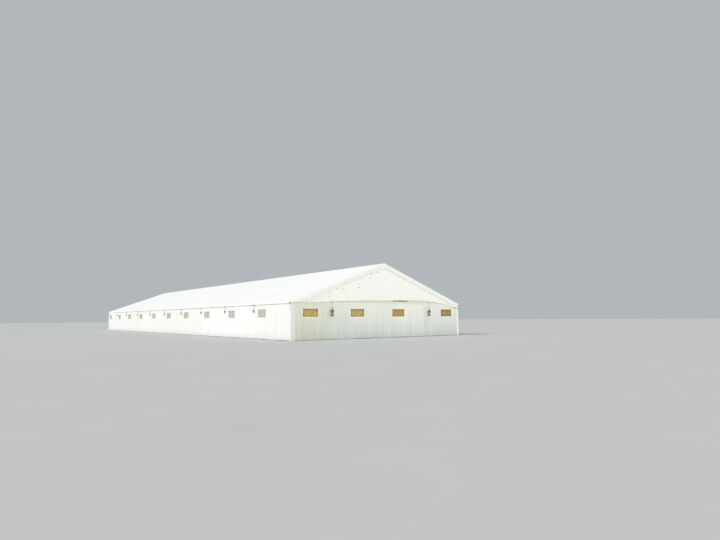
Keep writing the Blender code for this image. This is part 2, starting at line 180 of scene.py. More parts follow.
def seal(mesh):
    """Merges doubled points, takes out faces without area and turns all the others outwards."""
    work = bmesh.new()
    work.from_mesh(mesh)
    bmesh.ops.remove_doubles(work, verts=work.verts, dist=FINEST)
    bmesh.ops.dissolve_degenerate(work, edges=work.edges, dist=FINEST / 2)
    bmesh.ops.recalc_face_normals(work, faces=work.faces)
    work.to_mesh(mesh)
    work.free()


def add_piece(name, shapes, finishes, replaced=(), solid=True, sharp=35):
    """One object from shapes, with their points and faces end to end. Edges over sharp degrees stay hard."""
    first = np.cumsum([0] + [len(s.points) for s in shapes[:-1]])
    points = np.concatenate([s.points for s in shapes])
    faces = np.concatenate([s.faces + n for s, n in zip(shapes, first)])
    cut = np.concatenate([s.cut for s in shapes])
    finish_numbers = np.repeat([s.finish for s in shapes], [len(s.faces) for s in shapes])
    mesh = bpy.data.meshes.new(name)
    mesh.from_pydata(points.tolist(), [], faces.tolist())
    mesh.uv_layers.new(name="cut").data.foreach_set("uv", cut[faces].ravel())
    mesh.polygons.foreach_set("material_index", finish_numbers)
    if solid:
        seal(mesh)
    mesh.polygons.foreach_set("use_smooth", np.ones(len(mesh.polygons), bool))
    if sharp:
        mesh.set_sharp_from_angle(angle=radians(sharp))
    piece = bpy.data.objects.new(name, mesh)
    bpy.context.scene.collection.objects.link(piece)
    for finish in finishes:
        mesh.materials.append(finish)
    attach(piece, "root")
    if replaced:
        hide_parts(*replaced)
    return piece


# %% [markdown]
# ## Cloth
#
# Canvas is thin: 1.2 mm here, against the 5 mm of its CAD stand-in. Each cloth is one grid with its outer
# face where the formula puts it, and a Solidify modifier adds the thickness behind it. Three facts about a
# cloth are kept on its points for the materials: `hem`, the distance to the nearest edge or welded seam, a
# share of painted shade and dust that grows with how deep the point lies in a fold, and is also given beside
# laps and under hems, and a share of age and painted shade, as walls of unlike age hang side by side and the
# front gable's left curtains get painted shade.

# %% Cloth helper
CLOTH, THIN_CLOTH = 0.0012, 0.0006
HEM_BAND = 0.0105  # width of a hem or a welded seam
sheet_names = []


def smooth_step(value, low, high):
    """0 below low, 1 above high, and an S-shaped 3t^2 - 2t^3 between them."""
    share = np.clip((value - low) / (high - low), 0, 1)
    return share * share * (3 - 2 * share)


def swing(value, length, start=0.0):
    """A sine wave from 0 to 1 that repeats after length: 0.5 + 0.5 sin(tau x value / length + start)."""
    return 0.5 + 0.5 * np.sin(value * tau / length + start)


def spaced(start, end, step, marks=()):
    """Places from start to end about a step apart, with the marks put in and places close to one left out."""
    even = np.linspace(start, end, max(2, round((end - start) / step) + 1))
    marks = np.array([start, end, *marks], float)
    marks = np.unique(marks[(marks >= start) & (marks <= end)].round(6))
    clear = np.abs(even[:, None] - marks).min(axis=1) > 0.4 * step
    return np.sort(np.concatenate([even[clear], marks]))


def from_edge(*ways):
    """Distance to the nearest edge of a sheet. Each way across it is given as its places and its two ends."""
    distances = [np.minimum(places - low, high - places) for places, low, high in ways]
    return np.minimum(*distances) if len(distances) > 1 else distances[0]


def add_thickness(piece, thickness, offset):
    """A Solidify modifier: offset -1 puts the thickness behind the surface, and 0 half of it on each side."""
    skin = piece.modifiers.new("thickness", "SOLIDIFY")
    skin.thickness, skin.offset = thickness, offset


def add_cloth(name, points, outward, cut, hem, shade_and_dust, finish, flat, area=None, replaced=(),
              keep=None, thickness=CLOTH, age_and_shade=0.0):
    """A sheet on a grid, facing outward, with its thickness behind it. Its flat size is not used."""
    size = points.shape[:2]
    hem, shade_and_dust = np.broadcast_to(hem, size), np.broadcast_to(shade_and_dust, size)
    diagonals = points[1:, 1:] - points[:-1, :-1], points[:-1, 1:] - points[1:, :-1]
    facing = np.cross(*diagonals).sum(axis=(0, 1)) @ np.asarray(outward, float)
    if facing > 0:
        points, cut, hem, shade_and_dust = (a[:, ::-1] for a in (points, cut, hem, shade_and_dust))
        keep = keep if keep is None else keep[:, ::-1]
    shape = grid_shape(points, cut, keep=keep)
    piece = add_piece(name, [shape], [finish], replaced, solid=False, sharp=None)
    for title, values in (("hem", hem), ("shade_and_dust", shade_and_dust), ("age_and_shade", np.full(size, age_and_shade))):
        layer = piece.data.attributes.new(title, "FLOAT", "POINT")
        layer.data.foreach_set("value", values.ravel().astype(np.float32))
    if keep is not None:
        work = bmesh.new()
        work.from_mesh(piece.data)
        bmesh.ops.delete(work, geom=[v for v in work.verts if not v.link_faces], context="VERTS")
        work.to_mesh(piece.data)
        work.free()
    add_thickness(piece, thickness, -1)
    sheet_names.append(name)
    return piece


# %% [markdown]
# ## Shader maths that reads like arithmetic
#
# A material is a network of nodes, and one written out node by node is hard to read. `Tone` wraps a socket,
# so that `1 - mask` or `grime * 0.4 + 0.1` adds the Math nodes by itself. `Finish` is one material, with a
# single method that adds any other node: its type, its settings, and then what goes into its sockets.

# %% Tone and Finish
class Tone:
    """An output of a node. The operators + - * and ** on it add Math nodes and give a new Tone."""

    def __init__(self, finish, socket):
        self.finish, self.socket = finish, socket

    def reckon(self, operation, first, second, clamp=False):
        """A Math node that puts first and second through the operation, held from 0 to 1 if clamp is set."""
        settings = {"operation": operation, "use_clamp": clamp}
        return self.finish.add("ShaderNodeMath", settings, {0: first, 1: second})

    def __add__(self, other):
        return self.reckon("ADD", self, other)

    def __sub__(self, other):
        return self.reckon("SUBTRACT", self, other)

    def __rsub__(self, other):
        return self.reckon("SUBTRACT", other, self)

    def __mul__(self, other):
        return self.reckon("MULTIPLY", self, other)

    def __pow__(self, other):
        return self.reckon("POWER", self, other)

    __radd__ = __add__
    __rmul__ = __mul__

    def through(self, operation):
        """The Tone put through a function of one number, such as SINE, FRACT or ABSOLUTE."""
        return self.reckon(operation, self, 0.0)

    def within(self, low, high):
        """The Tone moved and stretched so that low becomes 0 and high becomes 1, and held between them."""
        return self.reckon("MULTIPLY", self - low, 1 / (high - low), clamp=True)


class Finish:
    """A material with a Principled shader, and one method that adds any node to it."""

    def __init__(self, name, constants):
        self.material = bpy.data.materials.new(name)
        self.material.use_nodes = True
        self.tree = self.material.node_tree
        self.shader = next(n for n in self.tree.nodes if n.type == "BSDF_PRINCIPLED")
        for socket, value in constants.items():
            self.shader.inputs[socket].default_value = value

    def add(self, kind, settings=None, sockets=None, output=0):
        """Adds a node of that kind, with its settings first and then what goes into its sockets."""
        node = self.tree.nodes.new(kind)
        for name, value in (settings or {}).items():
            setattr(node, name, value)
        for name, value in (sockets or {}).items():
            self.join(node.inputs[name], value)
        return Tone(self, node.outputs[output])

    def join(self, socket, value):
        """Links a Tone to a socket, or sets the socket to a plain value."""
        if isinstance(value, Tone):
            self.tree.links.new(value.socket, socket)
        else:
            socket.default_value = value

    def feed(self, sockets):
        """Joins each value to its socket on the shader, and gives the finished material."""
        for name, value in sockets.items():
            self.join(self.shader.inputs[name], value)
        return self.material

    def place(self, stretch=(1, 1, 1)):
        """Object coordinates, stretched."""
        here = self.add("ShaderNodeTexCoord", output="Object")
        return self.add("ShaderNodeMapping", {"vector_type": "POINT"}, {"Vector": here, "Scale": stretch})

    def cut(self, stretch=(1, 1, 1)):
        """The flat cut of a piece, in metres, stretched."""
        here = self.add("ShaderNodeUVMap", {"uv_map": "cut"})
        return self.add("ShaderNodeMapping", {"vector_type": "POINT"}, {"Vector": here, "Scale": stretch})

    def noise(self, where, size, detail=3.0, roughness=0.5):
        """Soft random patches about `size` metres across, from 0 to 1."""
        sockets = {"Vector": where, "Scale": 1 / size, "Detail": detail, "Roughness": roughness}
        return self.add("ShaderNodeTexNoise", {"noise_dimensions": "3D"}, sockets)

    def parts(self, vector, output):
        """One of the three numbers of a place, X, Y or Z."""
        return self.add("ShaderNodeSeparateXYZ", None, {0: vector}, output)

    def kept(self, name):
        """A number kept on the points of the mesh."""
        return self.add("ShaderNodeAttribute", {"attribute_name": name}, output="Fac")

    def blend(self, amount, first, second):
        """Colour `first` turned towards `second` by amount."""
        first, second = (c if isinstance(c, Tone) else (*c, 1) for c in (first, second))
        settings = {"data_type": "RGBA", "blend_type": "MIX", "clamp_factor": True}
        return self.add("ShaderNodeMix", settings, {0: amount, 6: first, 7: second}, output=2)

    def weave(self, thread):
        """A check with a thread's width: 0.5 + 0.5 sin(across) sin(along), one whole turn a thread."""
        across, along = ((self.parts(self.cut(), way) * (tau / thread)).through("SINE") for way in "XY")
        return across * along * 0.5 + 0.5

    def relief(self, height, depth, strength=1.0, under=None):
        """Bumps `depth` metres high where height goes from 0 to 1, on top of the relief under it."""
        sockets = {"Height": height, "Distance": depth, "Strength": strength}
        if under is not None:
            sockets["Normal"] = under
        return self.add("ShaderNodeBump", None, sockets, "Normal")


def mottled(name, constants, first, second, size, detail, roughness=0.5, stretch=(1, 1, 1), bumps=None):
    """A plain finish of two colours in soft patches, with bumps of that size, detail, depth and strength."""
    f = Finish(name, constants)
    sockets = {"Base Color": f.blend(f.noise(f.place(stretch), size, detail, roughness), first, second)}
    if bumps:
        sockets["Normal"] = f.relief(f.noise(f.place(stretch), *bumps[:2]), *bumps[2:])
    return f.feed(sockets)


# %% [markdown]
# ## Coated canvas
#
# A marquee's covers are polyester cloth under a white plastic coat. Close by, the weave shows through the
# coat as a fine check. Further off, one sees doubled seams, which are whiter and stand a little proud, rain
# streaks, grey-green painted shade and dust in the folds, and dirt splashed up from the grass. The walls also
# get painted shade that deepens towards the foot. Canvas that is stored folded also keeps a faint grid of
# creases. All of that is in one function, and roof, walls and gables only differ in how much of each they
# get. Weave and creases follow the cut, so they turn with the cloth.

# %% Canvas
def canvas(name, white, fold_shade_and_grime, streaks, splash, painted_shade=0.0, cast=0.0):
    """Coated canvas. Shares from 0 to 1: painted shade and dirt in folds, streaks down the cloth, splash near
    the ground, painted shade that thickens towards the foot, and a cast of green in broad patches."""
    f = Finish(name, {"Coat Roughness": 0.45, "Coat IOR": 1.45, "Specular IOR Level": 0.4})
    across, along = f.parts(f.cut(), "X"), f.parts(f.cut(), "Y")
    height = f.parts(f.place(), "Z")
    seam = 1 - f.kept("hem").within(0.009, HEM_BAND)
    groove = 1 - (f.kept("hem") - HEM_BAND).through("ABSOLUTE").within(0.0, 0.002)
    patches = f.noise(f.place(), 0.55, 5.0, 0.6)
    runs = f.noise(f.cut((1, 0.06, 1)), 0.045, 4.0, 0.65).within(0.5, 0.8)
    foot = (1 - height.within(0.0, 0.32)) ** 2.2
    spatter = f.noise(f.place(), 0.02, 6.0, 0.7).within(0.42, 0.62)
    # Painted shade with dust in folds, beside laps and under hems, and rain streaks
    shade_and_dirt = f.kept("shade_and_dust") * fold_shade_and_grime + runs * patches * streaks
    green = f.noise(f.place((1, 1, 0.6)), 2.4, 2.0, 0.5).within(0.38, 0.62)
    # Tone of the painted shade towards the foot: warm at the left end, cool further right
    shade_tone = f.blend(f.parts(f.place(), "X").within(-3.3, -2.1), (0.4, 0.37, 0.27), (0.25, 0.385, 0.395))

    off_white = [c * k for c, k in zip(white, (0.97, 0.975, 0.955))]
    colour = f.blend(patches.within(0.35, 0.75) * 0.5, white, off_white)
    colour = f.blend(green * cast, colour, (0.56, 0.68, 0.62))
    # Age yellows a curtain; on the front gable's left curtains this is painted shade
    colour = f.blend(f.kept("age_and_shade"), colour, (0.56, 0.57, 0.4))
    # Painted shade, deepening towards the foot
    colour = f.blend((1 - height.within(0.0, 1.15)) ** 1.7 * painted_shade, colour, shade_tone)
    colour = f.blend(shade_and_dirt, colour, (0.56, 0.59, 0.54))
    colour = f.blend(foot * splash * (spatter * 0.5 + 0.5), colour, (0.36, 0.38, 0.31))
    colour = f.blend(seam * 0.5, colour, (0.94, 0.94, 0.925))
    colour = f.blend(groove * 0.35, colour, (0.55, 0.55, 0.52))

    wander = f.noise(f.cut(), 0.5, 2.0, 0.5) * 0.08
    creases = 0.0
    for way in (across, along):
        from_crease = ((way * (1 / 0.46) + wander).through("FRACT") - 0.5).through("ABSOLUTE")
        creases = (1 - from_crease.within(0.0, 0.03)) ** 2.0 + creases
    creases = creases * f.noise(f.cut(), 0.7, 2.0, 0.6).within(0.35, 0.65)
    bump = f.relief(f.weave(0.0016), 0.00012, 0.5)
    bump = f.relief(f.noise(f.cut((1, 0.35, 1)), 0.16, 2.0, 0.4), 0.005, 0.5, bump)
    bump = f.relief(creases, 0.0016, 0.6, bump)
    bump = f.relief(seam, 0.0007, 0.8, bump)
    rough = patches * 0.16 + 0.4 + shade_and_dirt * 0.4
    return f.feed({"Base Color": colour, "Roughness": rough, "Coat Weight": 0.25, "Normal": bump})


roof_canvas = canvas("roof_canvas", (0.905, 0.905, 0.89), 0.45, 0.16, 0.0)
side_canvas = canvas("side_wall_canvas", (0.86, 0.862, 0.858), 0.24, 0.14, 0.5, painted_shade=0.05)
gable_canvas = canvas("gable_wall_canvas", (0.835, 0.84, 0.765), 0.2, 0.16, 0.42, painted_shade=0.5, cast=0.12)
panel_canvas = canvas("gable_panel_canvas", (0.925, 0.915, 0.865), 0.12, 0.12, 0.0)
flap_canvas = canvas("flap_canvas", (0.9, 0.89, 0.815), 0.3, 0.16, 0.0)
sleeve_canvas = canvas("sleeve_canvas", (0.9, 0.9, 0.87), 0.1, 0.08, 0.3)
# A darker copy of the sleeve canvas, for the left sleeves: painted shade
shaded_sleeve_canvas = canvas("shaded_sleeve_canvas", (0.745, 0.745, 0.7), 0.1, 0.12, 0.4, painted_shade=0.1)
band_canvas = mottled("band_canvas", {"Roughness": 0.4, "Coat Weight": 0.2}, (0.93, 0.885, 0.74),
                      (0.86, 0.82, 0.68), 0.05, 4.0, bumps=(0.004, 3.0, 0.0004, 0.4))
print("canvas finishes:", [m.name for m in bpy.data.materials if m.name.endswith("canvas")])

# %% [markdown]
# ## Lining and blinds
#
# Inside, a marquee is hung with pleated ivory lining, and the gable windows here have amber blinds,
# gathered and a little slack. Both are softer than canvas: no coat, and a nap that catches light at the edges
# (the sheen). Their colour is turned darker in the troughs of folds and creases: painted shade.

# %% Soft cloths
def soft_cloth(name, light, shade_colour, thread, creased, stain=None):
    """Uncoated cloth in its own colour on the crests, turned to a painted shade colour in the folds' troughs,
    with slubs, which are thicker threads. creased is the share of fine upright creases, the lines where a
    noise drawn out lengthwise passes 0.5, painted in the shade colour too, and stain a third colour that
    comes and goes in patches a hand wide."""
    f = Finish(name, {"Sheen Weight": 0.35, "Sheen Roughness": 0.4, "Specular IOR Level": 0.2})
    slubs = f.noise(f.cut((1, 0.04, 1)), thread * 3, 3.0, 0.7)
    slub_tone = [c * 0.8 for c in stain or light]
    patches = f.noise(f.place(), 0.12, 3.0, 0.5)
    # Painted shade: the folds' troughs, with random patches, turn the colour towards the shade colour
    depth = f.kept("shade_and_dust") * 0.85 + patches * 0.3 - 0.1
    pucker = f.noise(f.cut((1, 0.03, 1)), 0.016, 2.0, 0.5)
    crease = 1 - (pucker - 0.5).through("ABSOLUTE").within(0.0, 0.06)
    if stain:
        light = f.blend(f.noise(f.place(), 0.16, 4.0, 0.6).within(0.4, 0.62), light, stain)
    colour = f.blend(depth, light, shade_colour)
    colour = f.blend(slubs * 0.18, colour, slub_tone)
    colour = f.blend(crease * creased, colour, shade_colour)
    bump = f.relief(f.weave(thread), 0.0002, 0.6)
    bump = f.relief(slubs, 0.0006, 0.5, bump)
    bump = f.relief(crease, -0.002, creased, bump)
    return f.feed({"Base Color": colour, "Roughness": patches * 0.15 + 0.75, "Normal": bump})


ivory_lining = soft_cloth("ivory_lining", (0.8, 0.77, 0.66), (0.22, 0.18, 0.1), 0.0012, 0.2)
amber_blind = soft_cloth("amber_blind", (0.78, 0.64, 0.22), (0.17, 0.08, 0.025), 0.0015, 0.4,
                         stain=(0.72, 0.38, 0.08))
ivory_strip = soft_cloth("ivory_strip", (0.89, 0.85, 0.71), (0.55, 0.48, 0.31), 0.0012, 0.25)
print("soft cloths:", ivory_lining.name, amber_blind.name, ivory_strip.name)

# %% [markdown]
# ## Metals
#
# The skeleton is extruded aluminium. The press leaves fine lines along each length, and rain leaves a dull
# bloom. The lanterns are iron under green-black paint, thick enough to pool, with a little rust where drops
# hang. The same lines run along every extrusion, whichever way it lies, because all three directions carry
# the noise and the long one is stretched.

# %% Metal finishes
def extrusion(name, long_way):
    """Aluminium with lines along long_way: noise squeezed across and stretched along the extrusion."""
    f = Finish(name, {"Base Color": (0.72, 0.73, 0.74, 1), "Metallic": 1.0})
    squeeze = [0.01 if n == long_way else 1 for n in range(3)]
    lines = f.noise(f.place(squeeze), 0.0016, 3.0, 0.6)
    bloom = f.noise(f.place(), 0.14, 6.0, 0.7).within(0.45, 0.7)
    colour = f.blend(bloom * 0.6, (0.76, 0.77, 0.78), (0.55, 0.56, 0.56))
    rough = lines * 0.16 + bloom * 0.2 + 0.26
    bump = f.relief(lines, 0.0002, 0.35)
    return f.feed({"Base Color": colour, "Roughness": rough, "Normal": bump})


def painted_iron(name):
    """Green-black paint: pooled in soft lumps, glossier where thick, with rust in the odd spot."""
    f = Finish(name, {"Coat Roughness": 0.2})
    lumps = f.noise(f.place(), 0.008, 4.0, 0.55)
    spots = f.noise(f.place(), 0.03, 6.0, 0.75).within(0.62, 0.7)
    colour = f.blend(lumps.within(0.3, 0.7), (0.022, 0.034, 0.029), (0.05, 0.066, 0.056))
    colour = f.blend(spots * 0.6, colour, (0.16, 0.075, 0.035))
    rough = lumps * 0.2 + spots * 0.4 + 0.28
    bump = f.relief(lumps, 0.0008, 0.5)
    return f.feed({"Base Color": colour, "Roughness": rough, "Coat Weight": 0.4, "Normal": bump})


def plated_steel(name):
    """Galvanised pegs, bolts and eyelets: mottled grey zinc."""
    f = Finish(name, {"Metallic": 0.9})
    sockets = {"Vector": f.place(), "Scale": 160.0}
    spangle = f.add("ShaderNodeTexVoronoi", {"feature": "F1"}, sockets, "Distance")
    stain = f.noise(f.place(), 0.02, 4.0, 0.6).within(0.4, 0.7)
    colour = f.blend(spangle, (0.5, 0.51, 0.52), (0.66, 0.67, 0.68))
    colour = f.blend(stain * 0.45, colour, (0.3, 0.27, 0.23))
    return f.feed({"Base Color": colour, "Roughness": spangle * 0.2 + stain * 0.2 + 0.35,
                   "Normal": f.relief(spangle, 0.0003, 0.3)})


aluminium = {way: extrusion(f"aluminium_{'xyz'[way]}", way) for way in range(3)}
lantern_iron = painted_iron("lantern_iron")
zinc = plated_steel("zinc")
webbing = mottled("grey_webbing", {"Roughness": 0.8, "Specular IOR Level": 0.2}, (0.3, 0.3, 0.27),
                  (0.46, 0.45, 0.4), 0.002, 2.0, stretch=(1, 1, 4), bumps=(0.002, 2.0, 0.0005, 0.5))

# %% Aluminium on the skeleton
LONG_WAYS = {"portal_frame": 0, "ridge_beam": 1, "left_purlin": 1, "right_purlin": 1, "left_eave_beam": 1,
             "right_eave_beam": 1, "front_gable_frame": 2, "rear_gable_frame": 2}
for node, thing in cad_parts.items():
    way = LONG_WAYS.get(node.rstrip("_0123456789"))
    if way is not None:
        thing.data.materials.clear()
        thing.data.materials.append(aluminium[way])
shining = [node for node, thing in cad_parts.items() if thing.data.materials[0] in aluminium.values()]
print("aluminium on", len(shining), "nodes")

# %% [markdown]
# ## Window film and lantern glass
#
# The windows are soft clear film, welded into the cloth. It is never flat: it shines in long crooked bands,
# and it yellows with age. Lantern glass is stiffer, seeded with small bubbles. Both let the things behind
# them show through their Alpha, which other programs read as well.

# %% Clear finishes
def clear_film(name, tint, cover, wave, sag):
    """See-through film: cover is the share of light it stops, wave and sag its ripples' size and depth."""
    f = Finish(name, {"Base Color": (*tint, 1), "IOR": 1.5, "Coat Weight": 0.6, "Coat Roughness": 0.06})
    ripples = f.noise(f.place((1, 1, 0.55)), wave, 3.0, 0.5)
    haze = f.noise(f.place(), 0.08, 5.0, 0.65).within(0.35, 0.8)
    colour = f.blend(haze, tint, [min(1.0, c * 1.18) for c in tint])
    return f.feed({"Base Color": colour, "Roughness": haze * 0.2 + 0.08, "Alpha": haze * 0.12 + cover,
                   "Normal": f.relief(ripples, sag, 0.8)})


amber_film = clear_film("amber_film", (0.62, 0.53, 0.22), 0.1, 0.09, 0.006)
clear_window_film = clear_film("clear_window_film", (0.72, 0.71, 0.64), 0.16, 0.09, 0.006)
lantern_glass = clear_film("lantern_glass", (0.36, 0.4, 0.375), 0.6, 0.012, 0.0008)
lamp_white = mottled("lamp_white", {"Roughness": 0.5, "Subsurface Weight": 0.1}, (0.85, 0.87, 0.84),
                     (0.75, 0.77, 0.72), 0.01, 2.0)
print("clear finishes:", amber_film.name, clear_window_film.name, lantern_glass.name)

# %% [markdown]
# ## Roof covers
#
# Each bay has one cover. Its two long edges are slid into tracks on the rafters, and it is pulled tight
# over the eave beams. Tight cloth between two rafters is a shallow saddle: it sinks a little in mid-bay,
# and not at all at the ridge, the purlins and the eaves, which hold it up. A line across the marquee, from
# hem over the ridge to hem, is the profile. It is carried along the bay, and the sag moves each point in
# along the profile's own normal. The edge in the track is a bead, so a small bulge runs beside each rafter.

# %% Roof profile
PURLIN_X = 1.3
SAG = 0.011
SKIRT_Z = 1.163
RIDGE_ROUND = 0.008


def eased_slope(x):
    """Height of the cloth on the slope: RIDGE - FALL sqrt(x^2 + r^2), which rounds the ridge by r = 8 mm."""
    return RIDGE - FALL * np.sqrt(x**2 + RIDGE_ROUND**2)


def roof_profile():
    """Half the profile, from ridge to hem: the eased slope, an arc round the eave beam, then straight down.

    Gives x and z, and how free the cloth is to sag: sin squared between the supports, 0 on them."""
    last = EAVE_X + EAVE_RADIUS * sin(PITCH)
    slope = spaced(0, last, 0.085, [0.006, 0.015, 0.03, PURLIN_X, last - 0.02, last - 0.05])
    angle = np.linspace(pi / 2 - PITCH, 0, 7)[1:]
    drop = np.linspace(EAVE_Z, SKIRT_Z, 4)[1:]
    x = np.concatenate([slope, EAVE_X + EAVE_RADIUS * np.cos(angle), np.full(3, EAVE_X + EAVE_RADIUS)])
    z = np.concatenate([eased_slope(slope), EAVE_Z + EAVE_RADIUS * np.sin(angle), drop])
    between = np.interp(x, [0, PURLIN_X, last, 9], [0, 1, 2, 2])
    return x, z, np.sin(pi * between) ** 2


def both_halves(half, sign=1):
    """The right half in reverse order, times sign, as the left one, and then the right half itself."""
    return np.concatenate([sign * half[:0:-1], half])


def run_along(x, y):
    """Length of a line up to each of its points."""
    return np.hypot(np.diff(x, prepend=x[0]), np.diff(y, prepend=y[0])).cumsum()


half_x, half_z, half_free = roof_profile()
profile_x, profile_z, profile_free = both_halves(half_x, -1), both_halves(half_z), both_halves(half_free)
profile_run = run_along(profile_x, profile_z)
slope_x, slope_z = np.gradient(profile_x, profile_run), np.gradient(profile_z, profile_run)
profile_normal = np.stack([-slope_z, slope_x], axis=-1)
print(f"a cover is {profile_run[-1]:.3f} m from hem to hem, {len(profile_x)} points")

# %% Roof covers
COVER_GAP = 0.0014  # from the middle of a rafter to the edge of a cover
BEAD, BEAD_WIDTH = 0.0022, 0.013


def roof_cover(number):
    """The profile carried along one bay. The cloth sinks by SAG x free x (1 - t^2), with t from -1 to 1 in
    the bay, and by faint ripples, and it rises in a bead along both edges."""
    before, after = FRAME_Y[number - 1], FRAME_Y[number]
    start = before + COVER_GAP if number > 1 else -COVER_END_Y
    end = after - COVER_GAP if number < BAYS else COVER_END_Y
    bead_marks = np.array([0.004, 0.008, BEAD_WIDTH])
    y = spaced(start, end, 0.125, [*(start + bead_marks), *(end - bead_marks), (before + after) / 2])
    edge = from_edge((y, start, end))
    tight = np.clip(1 - ((2 * y - before - after) / BAY) ** 2, 0, None)
    drift = np.random.default_rng(40 + number).uniform(0, tau, 3)
    ripple = np.sin(y * tau / 0.93 + drift[0]) * np.sin(profile_run[:, None] * tau / 1.7 + drift[1])
    pulls = np.sin(y * tau / 0.21 + drift[2]) * smooth_step(np.abs(profile_x), 3.1, 3.7)[:, None]
    sink = (SAG + 0.003 * ripple) * profile_free[:, None] * tight - 0.0012 * pulls * tight
    rise = BEAD * np.sin(pi * np.clip(edge / BEAD_WIDTH, 0, 1)) - sink
    x = profile_x[:, None] + profile_normal[:, :1] * rise
    z = profile_z[:, None] + profile_normal[:, 1:] * rise
    seams = np.minimum(edge, np.abs(y - (before + after) / 2))
    hem = np.minimum(seams, from_edge((profile_run, 0, profile_run[-1]))[:, None])
    eaves = smooth_step(np.abs(profile_x), 3.72, 3.78)[:, None]
    shade_and_dust = smooth_step(edge, 0.035, 0.0) * 1.2 + eaves * 0.5
    cut = joined(y - start, profile_run[:, None])
    return add_cloth(f"cover_{number:02d}", joined(x, y, z), (0, 0, 1), cut, hem, shade_and_dust, roof_canvas,
                     flat=(float(end - start), float(profile_run[-1])),
                     replaced=[f"roof_cover_{number:02d}"])


covers = [roof_cover(number) for number in range(1, BAYS + 1)]
print("roof covers:", sum(len(c.data.polygons) for c in covers), "faces")

# %% [markdown]
# ## Flaps over the gables
#
# The first and the last cover end in a flap that falls over the gable. It is a band along both rakes that
# narrows at the eaves, with a rounded fold at its top and a doubled hem below. Its hem is never quite
# straight: it stands off the gable in shallow waves, and that uneven line of shadow is what one sees first
# from afar.

# %% Flaps
FLAP_DROP, FLAP_NARROW, FLAP_ENDS = 0.185, 3.3, 3.7852


def flap_stand(x, t):
    """How far the flap stands off its fold: 1.5 mm, 4 mm more in its top tenth, and waves up to 11 mm."""
    wave = 0.5 + 0.28 * np.sin(x * tau / 0.53) + 0.22 * np.sin(x * tau / 0.31 + 2)
    return 0.0015 + 0.004 * smooth_step(t, 0, 0.1) + 0.011 * wave * t**1.5, wave


def fold_height(x):
    """Height of the fold at the flap's top: the slope of the roof, and at the eave the arc round its beam."""
    arc = EAVE_Z + np.sqrt(np.clip(EAVE_RADIUS**2 - (np.abs(x) - EAVE_X) ** 2, 0, None))
    return np.where(np.abs(x) > EAVE_X + EAVE_RADIUS * sin(PITCH), arc, eased_slope(x))


def flap(name, end):
    """x across, t down: z = fold - t x drop(x), where the drop is less at the eaves, and y bows in waves."""
    marks = np.array([0.01, 3.7, 3.74, 3.766, 3.775, 3.781])
    x = spaced(-FLAP_ENDS, FLAP_ENDS, 0.045, [0, *marks, *-marks])
    t = np.array([0, 0.02, 0.05, 0.1, 0.2, 0.35, 0.5, 0.65, 0.8, 0.9, 0.94, 1.0])[:, None]
    drop = np.interp(np.abs(x), [0, FLAP_NARROW, 3.7, FLAP_ENDS], [FLAP_DROP, FLAP_DROP, 0.06, 0.04])
    drop = drop + 0.003 * np.sin(x * tau / 0.61) + 0.003 * np.sin(x * tau / 0.23 + 1)
    stand, wave = flap_stand(-end * x, t)
    points = joined(x, end * (COVER_END_Y + stand), fold_height(x) + 0.0005 - t * drop)
    hem = np.minimum((1 - t) * drop, np.abs(x) + 0.004)
    # Painted shade: darker towards the hem, in step with its waves, and over the left half of the flap
    shade_and_dust = 0.5 * (1 - wave) * t + smooth_step(t, 0.75, 1) * 0.25 + 0.35 * smooth_step(-end * x, 0.3, -0.3)
    return add_cloth(f"{name}_flap", points, (0, end, 0), joined(x / cos(PITCH), t * drop), hem, shade_and_dust,
                     flap_canvas, flat=(2 * FLAP_ENDS / cos(PITCH), FLAP_DROP))


flaps = [flap(name, end) for name, end in ENDS.items()]
print("flaps:", sum(len(f.data.polygons) for f in flaps), "faces")

# %% [markdown]
# ## Gable panels
#
# The triangle under the flap is one piece of canvas, laced to the rafters and hanging free along its hem.
# The hem does not run level: its height was read off the photograph at two dozen places, and it rises
# over the middle, is hitched up where the lantern arms come out, and droops at the right-hand corner. Such a
# line is given as a table of heights and eased by averaging neighbours, which is what stiff cloth does.

# %% The hem of the gable
HEM_X = np.array([-3.75, -3.52, -3.36, -3.2, -2.9, -2.6, -2.36, -2.27, -2.18, -1.9, -1.6, -0.83, -0.03, 0.43,
                  0.76, 1.03, 1.25, 1.5, 1.7, 1.95, 2.37, 2.7, 3.0, 3.34, 3.6, 3.75])
HEM_Z = np.array([1.225, 1.224, 1.192, 1.195, 1.2, 1.211, 1.226, 1.246, 1.236, 1.248, 1.259, 1.28, 1.293,
                  1.303, 1.311, 1.309, 1.314, 1.32, 1.321, 1.31, 1.28, 1.244, 1.206, 1.142, 1.092, 1.085])


def gable_hem(x):
    """Height of the panel's hem at x: the table, read at seven places 20 mm apart round x and averaged."""
    near = np.linspace(-0.06, 0.06, 7)
    return np.interp(np.asarray(x)[..., None] + near, HEM_X, HEM_Z).mean(axis=-1)


# %% Gable panels
PANEL_HALF, PANEL_UNDER, BELLY = 3.742, 0.0075, 0.012
PANEL_SEAMS = np.array([-2.5, -1.25, 0, 1.25, 2.5])


def panel_top(x):
    """Height of the panel's upper edge, a little under the roof's surface."""
    return roof_height(x) - PANEL_UNDER


def panel_belly(x, t):
    """How far the taut panel bellies out: 12 mm x sin(pi t) x cos(pi x / 7.5 m), 0 along its edges."""
    return np.sin(pi * t) * np.cos(x / HALF_SPAN * pi / 2) * BELLY


